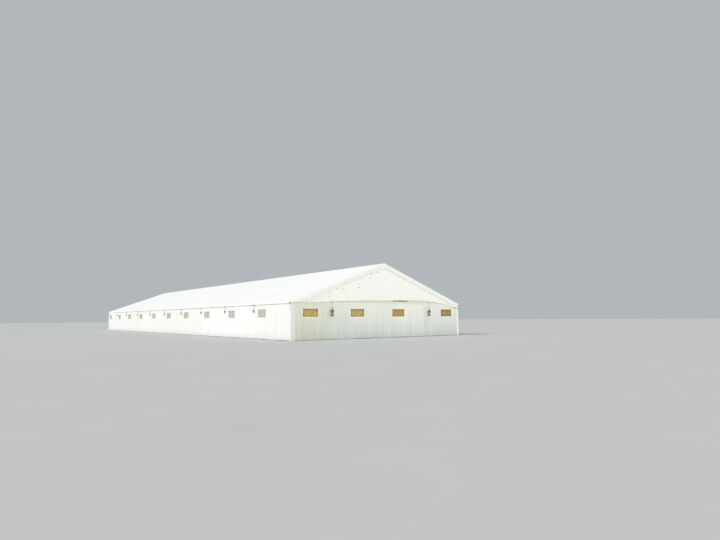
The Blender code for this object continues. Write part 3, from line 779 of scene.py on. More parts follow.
def gable_panel(name, end):
    """x across, t up: z runs from the hem to the rake; y = the belly + waves that grow towards the hem.
    Its low corners stand 7 mm out, over the corner sleeves. Towards its left end it is darker with painted
    shade."""
    mirror = -end
    x = spaced(-PANEL_HALF, PANEL_HALF, 0.05, PANEL_SEAMS)
    t = spaced(0, 1, 0.04, [0.008, 0.016, 0.03])[:, None]
    low, high = gable_hem(mirror * x), panel_top(x)
    z = low + t * (high - low)
    loose = (1 - t) ** 3 * smooth_step(3.7 - np.abs(x), 0, 0.6)
    waves = 0.5 + 0.3 * np.sin(x * tau / 0.47 + 1.3) + 0.2 * np.sin(x * tau / 0.19)
    over = 0.007 * smooth_step(np.abs(x), 3.48, 3.6) * smooth_step(z, 1.225, 1.16)
    y = end * (GABLE_Y + 0.0006 + panel_belly(x, t) + 0.007 * loose * waves + over)
    hem = np.minimum(t * (high - low), np.abs(x[:, None] - PANEL_SEAMS).min(axis=1))
    # Painted shade: darker in the wave troughs near the hem, in a band under the flap, and towards the left
    # end
    painted_shade = 1.8 * smooth_step(mirror * x, -2.3, -3.2)
    shade_and_dust = 0.5 * (1 - waves) * loose + 0.3 * smooth_step(t, 0.9, 1) + painted_shade
    return add_cloth(f"{name}_gable_cloth", joined(x, y, z), (0, end, 0), joined(x, z), hem, shade_and_dust,
                     panel_canvas, flat=(2 * PANEL_HALF, float((high - low).max())),
                     area=float(np.trapz(high - low, x)),
                     replaced=[f"{name}_gable_panel"])


for name, end in ENDS.items():
    gable_panel(name, end)
print("hem of the gable from", HEM_Z.min(), "to", HEM_Z.max(), "m")

# %% [markdown]
# ## The strip under the hem
#
# Between the gable panel and the curtains is a slot, and a strip of ivory lining is tied over the rail
# there. It shows over the middle only, as a warm line, deeper in tone up in the shade of the hem. At one
# place it has slipped, and one looks past the rail into the dark.

# %% Ivory strip
STRIP_LEFT, STRIP_RIGHT, STRIP_LOW, STRIP_HIGH = -2.45, 2.85, 1.158, 1.342
STRIP_TIES = 0.3


def slot_strip(name, end):
    """x across, t up: a band in front of the rail, 58 mm lower between x = 0.36 and 1.1 m. Its top edge dips
    between its ties. Painted shade makes it darkest close under the hem, darker still at two places where the
    hem stands off, and darker in the troughs of its puckers."""
    along = spaced(STRIP_LEFT, STRIP_RIGHT, 0.02)
    x = along * -end
    t = np.linspace(0, 1, 9)[:, None]
    low_part = smooth_step(along, 0.26, 0.42) * smooth_step(along, 1.18, 1.02)
    high = STRIP_HIGH - 0.058 * low_part - 0.006 * np.sin(along * pi / STRIP_TIES) ** 2
    z = STRIP_LOW + t * (high - STRIP_LOW)
    pucker = swing(x, 0.06, 2 * np.sin(x * tau / 0.5))
    y = end * (RAIL_Y + 0.0004 + 0.001 * pucker * np.sin(pi * t))
    stand_off = low_part + 0.4 * smooth_step(along, -1.12, -1.0) * smooth_step(along, -0.66, -0.8)
    under_hem = smooth_step(z, gable_hem(along) - 0.04, gable_hem(along) - 0.012)
    hem, shade_and_dust = np.minimum(t, 1 - t) * 0.07, (1 - pucker) * 0.5 + under_hem * (0.5 + 0.7 * stand_off)
    return add_cloth(f"{name}_slot_strip", joined(x, y, z), (0, end, 0), joined(x, z), hem, shade_and_dust,
                     ivory_strip, flat=(STRIP_RIGHT - STRIP_LEFT, STRIP_HIGH - STRIP_LOW),
                     thickness=THIN_CLOTH,
                     area=float(np.trapz(high - STRIP_LOW, along)))


for name, end in ENDS.items():
    slot_strip(name, end)
print(f"ivory strip from {STRIP_LOW} to {STRIP_HIGH} m")

# %% [markdown]
# ## Curtain walls
#
# A marquee wall is a curtain: hooked on at its top every hand's breadth, stiff enough to hang almost flat,
# pegged at its foot. Three sine waves of unlike lengths, each leaning a little as it goes down, give folds
# that never repeat by eye. They have no depth at the top, most near the foot, and none round a window,
# where the welded film holds the cloth flat. Neighbouring curtains overlap, so every second one hangs a lap
# step further out. All the curtains of one wall read the same wave, so they never cut through each other.
# What they share is kept in a `Wall`.

# %% Four walls
OVERLAP = 0.022
LAP_STEP = 0.0022  # how much further out every second curtain hangs
# put sets a place on the wall, edges and windows are places along it, held is where legs or lanterns hold the
# cloth, corner the end of the wall, seed the start of its folds, and fold how deep they are
Wall = namedtuple("Wall", "name put outward edges windows held corner seed fold finish hung_from")


def on_gable(end, face=GABLE_Y - LAP_STEP, way=1):
    """Puts (along, depth, up) on a gable: x = along, y = end x (face + way x depth), z = up."""
    return lambda along, depth, up: joined(along, end * (face + way * depth), up)


def on_side(side, face=WALL_X - LAP_STEP, way=1):
    """Puts (along, depth, up) on a long side: x = side x (face + way x depth), y = along, z = up."""
    return lambda along, depth, up: joined(side * (face + way * depth), along, up)


gable_edges = {"front": [-HALF_SPAN, -2.475, -POST_X, 0, POST_X, HALF_SPAN],
               "rear": [-HALF_SPAN, -POST_X, 0, POST_X, HALF_SPAN]}
lanterns_across = np.array([across for across, foot in LANTERN_PLACES.values()])
walls = {}
for name, end in ENDS.items():
    walls[name] = Wall(name, on_gable(end), (0, end, 0), gable_edges[name], GABLE_WINDOWS, lanterns_across,
                       HALF_SPAN, 11 if end < 0 else 12, 0.019, gable_canvas, f"{name}_gable_frame")
for name, side in SIDES.items():
    walls[name] = Wall(name, on_side(side), (side, 0, 0), FRAME_Y, SIDE_WINDOWS, FRAME_Y,
                       GABLE_Y, 21 if side < 0 else 22, 0.018, side_canvas, f"{name}_eave_beam")
print("curtains a wall:", {wall.name: len(wall.edges) - 1 for wall in walls.values()})


# %% Curtain
def folds(along, up, seed):
    """Depth of the folds from 0 to 1 at a place and a height: three leaning sine waves, averaged."""
    drift = np.random.default_rng(seed).uniform(-1, 1, (3, 2))
    lengths, shares = (0.74, 0.41, 0.23), (0.42, 0.34, 0.24)
    return sum(share * (0.5 + 0.5 * np.sin(tau * (along + 0.12 * lean * up) / length + 9 * start))
               for length, share, (lean, start) in zip(lengths, shares, drift))


def beside_windows(along, windows):
    """How far each place is from a window's side: below 0 between the sides, and 9 m if no window is near."""
    if not len(windows):
        return np.full(along.shape, 9.0)
    return np.abs(along[:, None] - windows).min(axis=1) - WINDOW_WIDTH / 2


def curtain(wall, title, left, right, top, lap, stood_for, age_and_shade, lap_shade):
    """One curtain from left to right on its wall, lap steps further out than the wall's face.

    It hangs flat at its hooks, round its windows, at the places in held (legs or lanterns) and near the
    marquee's corners, where along is +-corner. Its foot rises and dips by up to 9 mm, as no lawn is level.
    Beside a lap it is darker by a given share x e^(-distance / 0.3 m): a painted shadow of the neighbouring
    curtain. Painted shade also darkens the troughs of its folds and its top between the hooks."""
    windows = wall.windows[(wall.windows > left) & (wall.windows < right)]
    sides = np.concatenate([windows - WINDOW_WIDTH / 2, windows + WINDOW_WIDTH / 2])
    along = spaced(left, right, 0.028, [left + HEM_BAND, right - HEM_BAND, *sides])
    marks = [WALL_FOOT + HEM_BAND, top - HEM_BAND, top - 0.025, WINDOW_SILL, WINDOW_HEAD]
    up = spaced(WALL_FOOT, top, 0.045, marks)[:, None]
    level = np.maximum(WINDOW_SILL - up, up - WINDOW_HEAD)
    apart = np.hypot(np.maximum(beside_windows(along, windows), 0), np.maximum(level, 0))
    flat_end = smooth_step(wall.corner - np.abs(along), 0.1, 0.35)
    free = smooth_step(apart, 0.0, 0.22) * smooth_step(up, top, top - 0.4)
    free = free * (0.55 + 0.45 * smooth_step(up, 0.6, 0)) * flat_end
    free = free * (1 - 0.75 * np.exp(-((along[:, None] - wall.held) / 0.1) ** 2).max(axis=1))
    wave = folds(along, up, wall.seed)
    hooks, near_top = swing(along, 0.125), np.exp(-(top - up) / 0.05)
    pleat = 0.0022 * hooks * near_top * smooth_step(top - up, 0.0, 0.012)
    foot = 0.004 * swing(along, 0.31, wall.seed) * np.exp(-(up - WALL_FOOT) / 0.03) * flat_end
    lift = 0.5 + 0.3 * np.sin(along * tau / 1.7 + wall.seed) + 0.2 * np.sin(along * tau / 0.47)
    lift = 0.009 * lift * smooth_step(up, 0.3, 0)
    points = wall.put(along, LAP_STEP * lap + wall.fold * wave * free + pleat + foot * (apart > 0), up + lift)
    hem = np.minimum(from_edge((along, left, right), (up, WALL_FOOT, top)), apart)
    shade_and_dust = (1 - wave) * free + 0.35 * (1 - hooks) * near_top + lap_shade * np.exp((left - along) / 0.3)
    middle_x, middle_z = (along[1:] + along[:-1]) / 2, (up[1:] + up[:-1]) / 2
    opening = (beside_windows(middle_x, windows) < 0) & (middle_z > WINDOW_SILL) & (middle_z < WINDOW_HEAD)
    area = (right - left) * (top - WALL_FOOT) - len(windows) * WINDOW_WIDTH * (WINDOW_HEAD - WINDOW_SILL)
    return add_cloth(title, points, wall.outward, joined(along - left, up), hem, shade_and_dust, wall.finish,
                     flat=(right - left, top - WALL_FOOT),
                     replaced=[stood_for], keep=~opening, area=area, age_and_shade=age_and_shade)


# %% Gable curtains
CURTAIN_TOPS = {"front": (GABLE_TOP, GABLE_TOP, 1.182, 1.172, GABLE_TOP),
                "rear": (GABLE_TOP, 1.172, 1.182, GABLE_TOP)}
# Age yellows a curtain; on the front gable the larger shares at the left are painted shade
AGES_AND_SHADE = {"front": (0.42, 0.22, 0.12, 0.0, 0.08), "rear": (0.2, 0.05, 0.1, 0.3)}
curtains = []
for name in ENDS:
    edges = gable_edges[name]
    for n, (left, right) in enumerate(zip(edges[:-1], edges[1:])):
        left, right = max(left - OVERLAP / 2, -HALF_SPAN), min(right + OVERLAP / 2, HALF_SPAN)
        stood_for = f"front_wall_panel_{max(n, 1)}" if name == "front" else "rear_gable_wall"
        curtains.append(curtain(walls[name], f"{name}_curtain_{n + 1}", left, right, CURTAIN_TOPS[name][n],
                                n % 2, stood_for, AGES_AND_SHADE[name][n], 1.1 if n else 0.0))
print("gable curtains:", len(curtains))

# %% Side curtains
for name, side in SIDES.items():
    for n in range(BAYS):
        left = FRAME_Y[n] - OVERLAP if n else -GABLE_Y
        right = FRAME_Y[n + 1] + OVERLAP if n < BAYS - 1 else GABLE_Y
        age_and_shade = float(np.random.default_rng(n + 50 * side + 60).uniform(0, 0.16))
        curtains.append(curtain(walls[name], f"{name}_curtain_{n + 1:02d}", left, right, SIDE_TOP, n % 2,
                                f"{name}_side_wall", age_and_shade, 0.3))
print("all curtains:", len(curtains), "with", sum(len(c.data.polygons) for c in curtains), "faces")

# %% [markdown]
# ## Corner sleeves
#
# Where a side wall meets a gable wall, a narrow strip of clean canvas is wrapped round the corner leg and
# covers both edges. Seen from in front it is a bright upright band. Its plan is a straight run, a quarter
# circle and another straight run, and it is the same all the way up, but for its free edge, which flutters
# by a few millimetres.

# %% Corner sleeves
SLEEVE_OUT, SLEEVE_ROUND, SLEEVE_TOP, SLEEVE_FOOT = 0.0048, 0.007, 1.168, 0.0085
# The left sleeves take the darker copy of the sleeve canvas: painted shade
SLEEVES = {"left": (0.16, shaded_sleeve_canvas), "right": (0.1, sleeve_canvas)}


def corner_sleeve(name, side, end, width, finish):
    """The plan (side run, arc, gable run) carried up; a flutter grows towards the free edge on the gable."""
    turn = np.linspace(0, pi / 2, 7)[1:-1]
    side_run, gable_run = np.linspace(-0.06, 0, 5), np.linspace(0, width, 8)
    x = np.concatenate([np.full(5, SLEEVE_ROUND), SLEEVE_ROUND * np.cos(turn), -gable_run])
    y = np.concatenate([side_run, SLEEVE_ROUND * np.sin(turn), np.full(8, SLEEVE_ROUND)])
    x, y = x + (WALL_X + SLEEVE_OUT - SLEEVE_ROUND), y + (GABLE_Y + SLEEVE_OUT - SLEEVE_ROUND)
    run = run_along(x, y)
    z = spaced(SLEEVE_FOOT, SLEEVE_TOP, 0.045, [SLEEVE_FOOT + HEM_BAND, SLEEVE_TOP - HEM_BAND])[:, None]
    flutter = 0.0016 * smooth_step(run, run[-1] - 0.07, run[-1]) * swing(z, 0.37, side + end)
    return add_cloth(name, joined(side * x, end * (y + flutter), z), (side, end, 0), joined(run, z),
                     from_edge((run, 0, run[-1]), (z, SLEEVE_FOOT, SLEEVE_TOP)), 0.0, finish,
                     flat=(float(run[-1]), SLEEVE_TOP - SLEEVE_FOOT))


sleeves = [corner_sleeve(f"{name}_{hand}_corner_sleeve", side, end, *SLEEVES[hand])
           for name, end in ENDS.items() for hand, side in SIDES.items()]
print("corner sleeves:", len(sleeves))

# %% [markdown]
# ## Windows
#
# Each window is a pane of clear film, and round it runs a doubled band of canvas, where film and cloth are
# welded. The band is a flat rounded section carried round a rounded rectangle. A rectangle grown by a
# distance is a smaller rectangle with a quarter circle of the wanted radius at each corner, which gives the
# band its even width.

# %% Window panes and bands
BAND_WIDTH, BAND_LAP, BAND_CORNER, BAND_RISE = 0.02, 0.002, 0.012, 0.0016
PANE_MARGIN, PANE_THICK = 0.025, 0.0006
window_middle_z, window_height = (WINDOW_SILL + WINDOW_HEAD) / 2, WINDOW_HEAD - WINDOW_SILL


def window_band():
    """Round the loop: corner centre + (corner radius + across) along the angle; depth from the section."""
    angle = np.concatenate([q * pi / 2 + np.linspace(0, pi / 2, 5) for q in range(4)] + [[tau]])[:, None]
    quarter = np.append(np.repeat(np.arange(4), 5), 0)[:, None]
    corner_x = np.where((quarter == 0) | (quarter == 3), 1, -1) * (WINDOW_WIDTH / 2 - BAND_CORNER)
    corner_z = np.where(quarter < 2, 1, -1) * (window_height / 2 - BAND_CORNER)
    across = np.array([-BAND_LAP, 0.0, BAND_WIDTH - BAND_LAP, BAND_WIDTH, BAND_WIDTH, -BAND_LAP, -BAND_LAP])
    depth = np.array([0.6, 1, 1, 0.6, 0, 0, 0.6]) * BAND_RISE
    reach = BAND_CORNER + across
    return corner_x + reach * np.cos(angle), depth, corner_z + reach * np.sin(angle)


def window_pane():
    """A rectangle 25 mm larger all round than its opening, crumpled in small crossing waves. Towards its
    edges they die away like (1 - (2x / width)^4) (1 - (2z / height)^4)."""
    x = np.linspace(-0.5, 0.5, 17) * (WINDOW_WIDTH + 2 * PANE_MARGIN)
    z = np.linspace(-0.5, 0.5, 11)[:, None] * (window_height + 2 * PANE_MARGIN)
    free_x = np.clip(1 - (2 * x / WINDOW_WIDTH) ** 4, 0, None)
    free_z = np.clip(1 - (2 * z / window_height) ** 4, 0, None)
    return x, 0.0009 * (np.sin(x * 17 + z * 9) + np.sin(z * 31 - x * 8)) * free_x * free_z, z


def window_grids(wall, grid, shift):
    """The same grid set down round the middle of each window, on the face of the curtain that it is in."""
    x, depth, z = grid
    laps = (np.searchsorted(wall.edges, wall.windows) - 1) % 2
    return [grid_shape(wall.put(x + middle, depth + shift + lap * LAP_STEP, z + window_middle_z))
            for middle, lap in zip(wall.windows, laps)]


for wall, film in zip(walls.values(), (amber_film, amber_film, clear_window_film, clear_window_film)):
    bands, panes = window_grids(wall, window_band(), 0.0001), window_grids(wall, window_pane(), -0.0016)
    add_piece(f"{wall.name}_window_bands", bands, [band_canvas])
    film_piece = add_piece(f"{wall.name}_window_panes", panes, [film],
                           [f"{wall.name}_window_sheet"], solid=False, sharp=None)
    add_thickness(film_piece, PANE_THICK, 0)
print("windows:", sum(len(wall.windows) for wall in walls.values()))

# %% [markdown]
# ## Linings and blinds
#
# The pleated lining hangs inside, between one leg and the next, from the eave beam or from the gable rail.
# A pleat is a sine wave pinched towards its crest, so crests are narrow and hollows wide, and the pinch
# slackens on the way down. The amber blinds of the gable windows are gathered too, but slack: their folds
# lean and wander, and sag in swags between one tie and the next, which shows from outside as uneven bands
# of gold and orange.

# %% Linings
PLEAT = 0.155
LINING_FOOT, SIDE_LINING_TOP, GABLE_LINING_TOP = 0.012, 1.2, 1.187
FULLNESS = 1.06
RAIL_SPANS = [(-3.655, -1.9), (-1.85, -0.025), (0.025, 1.85), (1.9, 3.655)]


def pleats(along, up, top, seed):
    """From 0 to 1: a sine of the place along, which drifts slowly from pleat to pleat, raised to a power."""
    drift = 0.03 * np.sin(along * tau / 0.83 + seed) + 0.012 * np.sin(up * tau / 0.9 + along * 5 + seed)
    return swing(along + drift, PLEAT) ** (1.2 + 0.8 * up / top)


def lining(wall, title, start, stop, top, seed, put):
    """A pleated curtain: depth = 2 mm + 13 mm x pleats, less near the heading tape at its top."""
    along = spaced(start, stop, PLEAT / 11)
    up = spaced(LINING_FOOT, top, 0.12, [top - 0.01, top - 0.03, top - 0.07])[:, None]
    wave = pleats(along, up, top, seed)
    depth = 0.002 + 0.013 * wave * (0.25 + 0.75 * smooth_step(up, top, top - 0.08))
    return add_cloth(title, put(along, depth, up), wall.outward, joined(along - start, up),
                     from_edge((along, start, stop), (up, LINING_FOOT, top)), 1 - wave, ivory_lining,
                     flat=(FULLNESS * (stop - start), top - LINING_FOOT),
                     thickness=THIN_CLOTH)


for name, side in SIDES.items():
    for n in range(BAYS):
        start, stop = FRAME_Y[n] + LEG_HALF + 0.006, FRAME_Y[n + 1] - LEG_HALF - 0.006
        lining(walls[name], f"{name}_lining_{n + 1:02d}", start, stop, SIDE_LINING_TOP, n,
               on_side(side, LINING_X, -1))
for name, end in ENDS.items():
    for n, (start, stop) in enumerate(RAIL_SPANS):
        lining(walls[name], f"{name}_lining_{n + 1}", start, stop, GABLE_LINING_TOP, 30 + n,
               on_gable(end, LINING_Y, -1))
print("linings:", sum("lining" in name for name in sheet_names))

# %% Amber blinds
BLIND_LOW, BLIND_HIGH, BLIND_HALF, BLIND_FLAT = 0.69, 1.188, 0.32, 0.66


def blind(wall, number, end, middle):
    """x across, z up. Upright gathers: line = x / 95 mm + a lean that differs from place to place, and a
    gather is 0.5 - 0.5 cos(line) squared. Where they cross the slack of two swags, which sag like cos x,
    they deepen. Fine pleats of about 29 mm, narrow at the crest, run over all of that."""
    x = spaced(middle - BLIND_HALF, middle + BLIND_HALF, 0.005)
    z = spaced(BLIND_LOW, BLIND_HIGH, 0.02)[:, None]
    off = x - middle
    slip = np.random.default_rng(int(1000 * abs(middle))).uniform(-1, 1, 4)
    line = off / 0.095 + 0.3 * np.sin(z * 14 + 5 * slip[0]) + 0.35 * np.sin(off * 17 + 6 * slip[1])
    gather = (0.5 - 0.5 * np.cos(tau * line)) ** 2
    slack = z - window_middle_z + 0.03 * np.cos(off * 11 + slip[2])
    swag = 0.5 - 0.5 * np.cos(tau * slack / 0.17 + slip[3])
    net = gather * (0.35 + 0.45 * swag) + 0.2 * swag
    lean = 0.005 * np.sin(z * 9 + x * 5 + slip[2]) + 0.006 * np.sin(x * 23 + 4 * slip[3])
    fine = swing(x + lean, 0.029) ** 1.8
    points = on_gable(end, BLIND_Y)(x, 0.0065 * (1 - net) + 0.0024 * fine, z)
    head = smooth_step(z, WINDOW_HEAD - 0.09, WINDOW_HEAD - 0.01)
    sill = smooth_step(z, WINDOW_SILL + 0.05, WINDOW_SILL)
    # Painted shade: darker under the head, beside the sides and over the sill of the opening, in the gathers
    # and between the fine pleats, and on the blinds further right
    shade = 0.1 + 0.52 * smooth_step(middle, 0, 2.5) + 0.42 * head
    shade = shade + 0.4 * smooth_step(np.abs(off), 0.19, 0.28) + 0.2 * sill
    hem = from_edge((x, x[0], x[-1]), (z, BLIND_LOW, BLIND_HIGH))
    return add_cloth(f"{wall.name}_blind_{number}", points, wall.outward, joined(x, z), hem,
                     shade + 0.65 * net + 0.3 * (0.36 - fine), amber_blind,
                     flat=(BLIND_FLAT, BLIND_HIGH - BLIND_LOW),
                     thickness=THIN_CLOTH)


for name, end in ENDS.items():
    for n, middle in enumerate(GABLE_WINDOWS):
        blind(walls[name], n + 1, end, middle)
print("blinds:", sum("blind" in name for name in sheet_names))

# %% [markdown]
# ## Turned and carried shapes
#
# Lanterns, pegs and bolts are turned: a line of (radius, height) pairs goes round an axis. Arms, wires and
# rings are tubes: a circle is carried along a path, in a frame made of the path's direction and two
# directions square to it. Both close their ends by letting the last ring shrink to a point.

# %% Turning and tubes
def turned(profile, sides, finish=0, start=0.0):
    """(radius, height) pairs turned about the vertical: x = r cos a, y = r sin a, ending where it began."""
    r, z = np.array(profile, float).T[:, :, None]
    a = np.linspace(0, tau, sides + 1) + start
    return grid_shape(joined(r * np.cos(a), r * np.sin(a), z), finish=finish)


def tube(path, radius, sides=8, finish=0, aside=(0, 0, 1), flatten=1.0):
    """path + radius (cos a x side + sin a x over), with side and over square to the path, and closed ends."""
    path = np.asarray(path, float)
    radius = np.broadcast_to(radius, len(path))
    path, radius = (np.concatenate([v[:1], v, v[-1:]]) for v in (path, radius))
    radius = np.where(np.arange(len(path)) % (len(path) - 1) == 0, 0, radius)
    ahead = np.gradient(path[1:-1], axis=0)
    ahead = np.concatenate([ahead[:1], ahead, ahead[-1:]])
    ahead /= np.linalg.norm(ahead, axis=1, keepdims=True)
    side = np.cross(ahead, aside)
    side /= np.linalg.norm(side, axis=1, keepdims=True)
    over = np.cross(side, ahead)
    a = (np.linspace(0, tau, sides + 1) + pi / 4)[None, :, None]
    ring = np.cos(a) * side[:, None] + np.sin(a) * over[:, None] * flatten
    return grid_shape(path[:, None] + radius[:, None, None] * ring, finish=finish)


def lies_along(shape, way):
    """The shape laid down: its vertical axis now points along +Y for way 1, and along -Y for way -1."""
    x, y, z = shape.points.T
    return shape._replace(points=joined(x, way * z, -way * y))


def rod(radius, half, sides, finish=0):
    """A plain cylinder along Y, with half its length on each side of the middle."""
    return lies_along(turned([(0, -half), (radius, -half), (radius, half), (0, half)], sides, finish), 1)


def box_bar(centre, size, finish=0):
    """A bar with eased edges: an eight-sided ring, longer on its flats, carried along Y, with closed ends."""
    w, l, h = (s / 2 for s in size)
    ease = 0.18 * min(w, h)
    ring = [(w, ease - h), (w, h - ease), (w - ease, h), (ease - w, h), (-w, h - ease), (-w, ease - h),
            (ease - w, -h), (w - ease, -h), (w, ease - h)]
    steps = [(-l, 0), (-l, 0.93), (ease - l, 1), (l - ease, 1), (l, 0.93), (l, 0)]
    x, z = np.array(ring).T
    y, share = np.array(steps).T[:, :, None]
    return grid_shape(joined(x * share, y, z * share) + np.asarray(centre, float), finish=finish)


print("a rod has", len(rod(1, 1, 8).faces), "faces, and a bar", len(box_bar((0, 0, 0), (1, 1, 1)).faces))


# %% [markdown]
# ## Lanterns
#
# The lanterns are an old street pattern: an eight-sided cap like a bell, a wide rim under it, glass that
# tapers down between corner bars, and a ball below. From afar they read as a dark cap and a dark ball with
# a pale gap between, so those proportions were taken from the photograph. The gable lanterns hang from arms
# on the rail, and the small ones along the eaves from a conduit. Both come from one function with a radius,
# a height and a number of sides.

# %% Lantern
def lantern(radius, height, sides, round_sides):
    """Shapes of one lantern, with its ball's foot at z = 0. Its profiles are shares of radius and height."""
    size = np.array([radius, height])
    ball = [(0, 0), (0.12, 0.005), (0.15, 0.02), (0.42, 0.04), (0.62, 0.085), (0.68, 0.14), (0.62, 0.19),
            (0.38, 0.235), (0.16, 0.26), (0.14, 0.31), (0.3, 0.325), (0.48, 0.33), (0.5, 0.345), (0, 0.35)]
    glass = [(0.42, 0.345), (0.84, 0.555), (0.8, 0.555), (0.38, 0.347), (0.42, 0.345)]
    cap = [(0, 0.55), (0.9, 0.555), (1.0, 0.565), (1.0, 0.595), (0.86, 0.605), (0.74, 0.635), (0.5, 0.68),
           (0.4, 0.72), (0.44, 0.73), (0.4, 0.74), (0.22, 0.76), (0, 0.765)]
    spire = [(0, 0.75), (0.2, 0.76), (0.16, 0.8), (0.24, 0.82), (0.16, 0.84), (0.12, 0.87), (0.14, 0.93),
             (0.11, 0.95), (0.1, 0.995), (0, 1)]
    lamp = [(0, 0.348), (0.13, 0.353), (0.13, 0.4), (0.22, 0.43), (0.24, 0.465), (0.14, 0.515), (0, 0.53)]
    turn = pi / sides
    bar_x, bar_z = np.array([(0.44, 0.335), (0.88, 0.565)]).T * size[:, None]
    bar = tube(joined(bar_x, 0, bar_z), 0.045 * radius, 4)
    return [turned(ball * size, round_sides), turned(glass * size, sides, 1, turn),
            turned(cap * size, sides, 0, turn), turned(spire * size, round_sides),
            turned(lamp * size, round_sides, 2),
            copies(bar, np.zeros((sides, 3)), turn + np.arange(sides) * tau / sides)]


GABLE_LANTERN, EAVE_LANTERN = (0.062, 0.308, 8, 20), (0.034, 0.125, 6, 10)
lantern_finishes = [lantern_iron, lantern_glass, lamp_white, zinc]
print("a gable lantern has", sum(len(s.faces) for s in lantern(*GABLE_LANTERN)), "faces")

# %% Gable lanterns
LANTERN_Y, ARM_Z, ARM_BEND = 12.6136, 1.2325, 0.012


def lantern_arm(across, end):
    """Shapes of an arm, of its scroll and of the eye that carries the lantern.

    The arm runs level, turns in a quarter circle and goes down. The scroll is a spiral, whose radius shrinks
    evenly from 14.5 mm to 4 mm in 1.6 turns."""
    bend, angle, ring = np.linspace(0, pi / 2, 7), np.linspace(0, 1.6 * tau, 34), np.linspace(0, tau, 17)
    curl = 0.004 + 0.0105 * (1 - angle / angle[-1])
    arm_y = [RAIL_Y + np.array([0, 0.02, 0.045, 0.0666]), LANTERN_Y - ARM_BEND + ARM_BEND * np.sin(bend),
             np.full(4, LANTERN_Y)]
    arm_z = [np.full(4, ARM_Z), ARM_Z - ARM_BEND + ARM_BEND * np.cos(bend), [1.19, 1.13, 1.07, 1.055]]
    scroll_y, scroll_z = LANTERN_Y - 0.02 - curl * np.cos(angle), ARM_Z - 0.0185 + curl * np.sin(angle)
    eye = joined(across + 0.007 * np.cos(ring), end * LANTERN_Y, 1.066 + 0.009 * np.sin(ring))
    arm = joined(across, end * np.concatenate(arm_y), np.concatenate(arm_z))
    return [tube(arm, 0.0026, 8, aside=(1, 0, 0)),
            tube(joined(across, end * scroll_y, scroll_z), 0.0016, 6, aside=(1, 0, 0)),
            tube(eye, 0.0014, 6, aside=(0, 1, 0))]


def lantern_stay(across, end):
    """A thin wire from the bend of the arm up to the gable."""
    path = [(across, end * (LANTERN_Y - ARM_BEND), ARM_Z + 0.001),
            (across - 0.02, end * 12.583, ARM_Z + 0.12), (across - 0.07, end * 12.5545, 1.538)]
    return tube(path, 0.0012, 5, 3)


for name, end in ENDS.items():
    for hand, (across, foot) in LANTERN_PLACES.items():
        shapes = [copies(s, (across, end * LANTERN_Y, foot)) for s in lantern(*GABLE_LANTERN)]
        shapes += lantern_arm(across, end)
        if hand == "left":
            shapes.append(lantern_stay(across, end))
        add_piece(f"{name}_{hand}_lantern", shapes, lantern_finishes, [f"{name}_lantern_{hand}"])
print("gable lanterns:", len(ENDS) * len(LANTERN_PLACES))

# %% Strings of eave lanterns
CONDUIT_X, CONDUIT_Z, CONDUIT_END = 3.7619, 1.156, 10.008
BOX_X, BOX_Z, LID_X = 3.7712, 1.1495, 3.7844
SMALL_X, SMALL_Z = 3.8036, 0.905

for name, side in SIDES.items():
    legs = FRAME_Y[1:-1]
    shapes = [copies(s, joined(side * SMALL_X, legs, SMALL_Z)) for s in lantern(*EAVE_LANTERN)]
    hook_x = np.array([3.78, 3.79, 3.7985, 3.8029, SMALL_X, SMALL_X, SMALL_X])
    hook_z = np.array([BOX_Z, BOX_Z, 1.148, 1.143, 1.136, 1.09, 1.029])
    hook = tube(joined(side * hook_x, 0, hook_z), 0.003, 6, aside=(0, 1, 0))
    box = box_bar((side * BOX_X, 0, BOX_Z), (0.0245, 0.044, 0.0245))
    lid = box_bar((side * LID_X, 0, BOX_Z), (0.003, 0.036, 0.0185))
    shapes += [copies(s, joined(0, legs, 0)) for s in (hook, box, lid)]
    conduit_y = np.array([-CONDUIT_END, -5, 0, 5, CONDUIT_END])
    shapes.append(tube(joined(side * CONDUIT_X, conduit_y, CONDUIT_Z), 0.0036, 8, 3))
    clip_y = np.arange(-10, 10.01, 0.625)
    shapes.append(copies(rod(0.0052, 0.009, 8, 3), joined(side * CONDUIT_X, clip_y, CONDUIT_Z)))
    add_piece(f"{name}_eave_lanterns", shapes, lantern_finishes, [f"{name}_lantern_string"])
print("eave lanterns:", 2 * (BAYS - 1))

# %% [markdown]
# ## Fittings
#
# Small parts tell a viewer how large a thing is. At each corner a dark ratchet pulls the end cover down
# over the eave, with its strap and buckle below it. Zinc pegs hold the base plates down. The gable is
# buttoned to its rafters with toggles, its hem is tied to the rail, and a webbing strap round the leg holds
# the hem's low corner. Each part is turned or carried once and then copied to all of its places as an
# array, with few faces, because there are dozens of them.

# %% Ratchets at the eaves
RATCHET_X, RATCHET_Y, RATCHET_Z = 3.7935, 12.531, 1.191
ratchet = [box_bar((0, 0, 0), (0.012, 0.036, 0.034)), box_bar((0.0065, 0, 0.004), (0.005, 0.022, 0.044)),
           copies(rod(0.009, 0.022, 10), (0.004, 0, 0.004)),
           box_bar((-0.0035, 0, -0.1), (0.0014, 0.013, 0.17), 1),
           box_bar((-0.001, 0, -0.186), (0.006, 0.02, 0.018))]
shapes = [copies(s, (side * RATCHET_X, end * RATCHET_Y, RATCHET_Z), 0 if side > 0 else pi)
          for end in ENDS.values() for side in SIDES.values() for s in ratchet]
add_piece("corner_ratchets", shapes, [lantern_iron, webbing])
print("corner ratchets:", len(shapes) // len(ratchet))

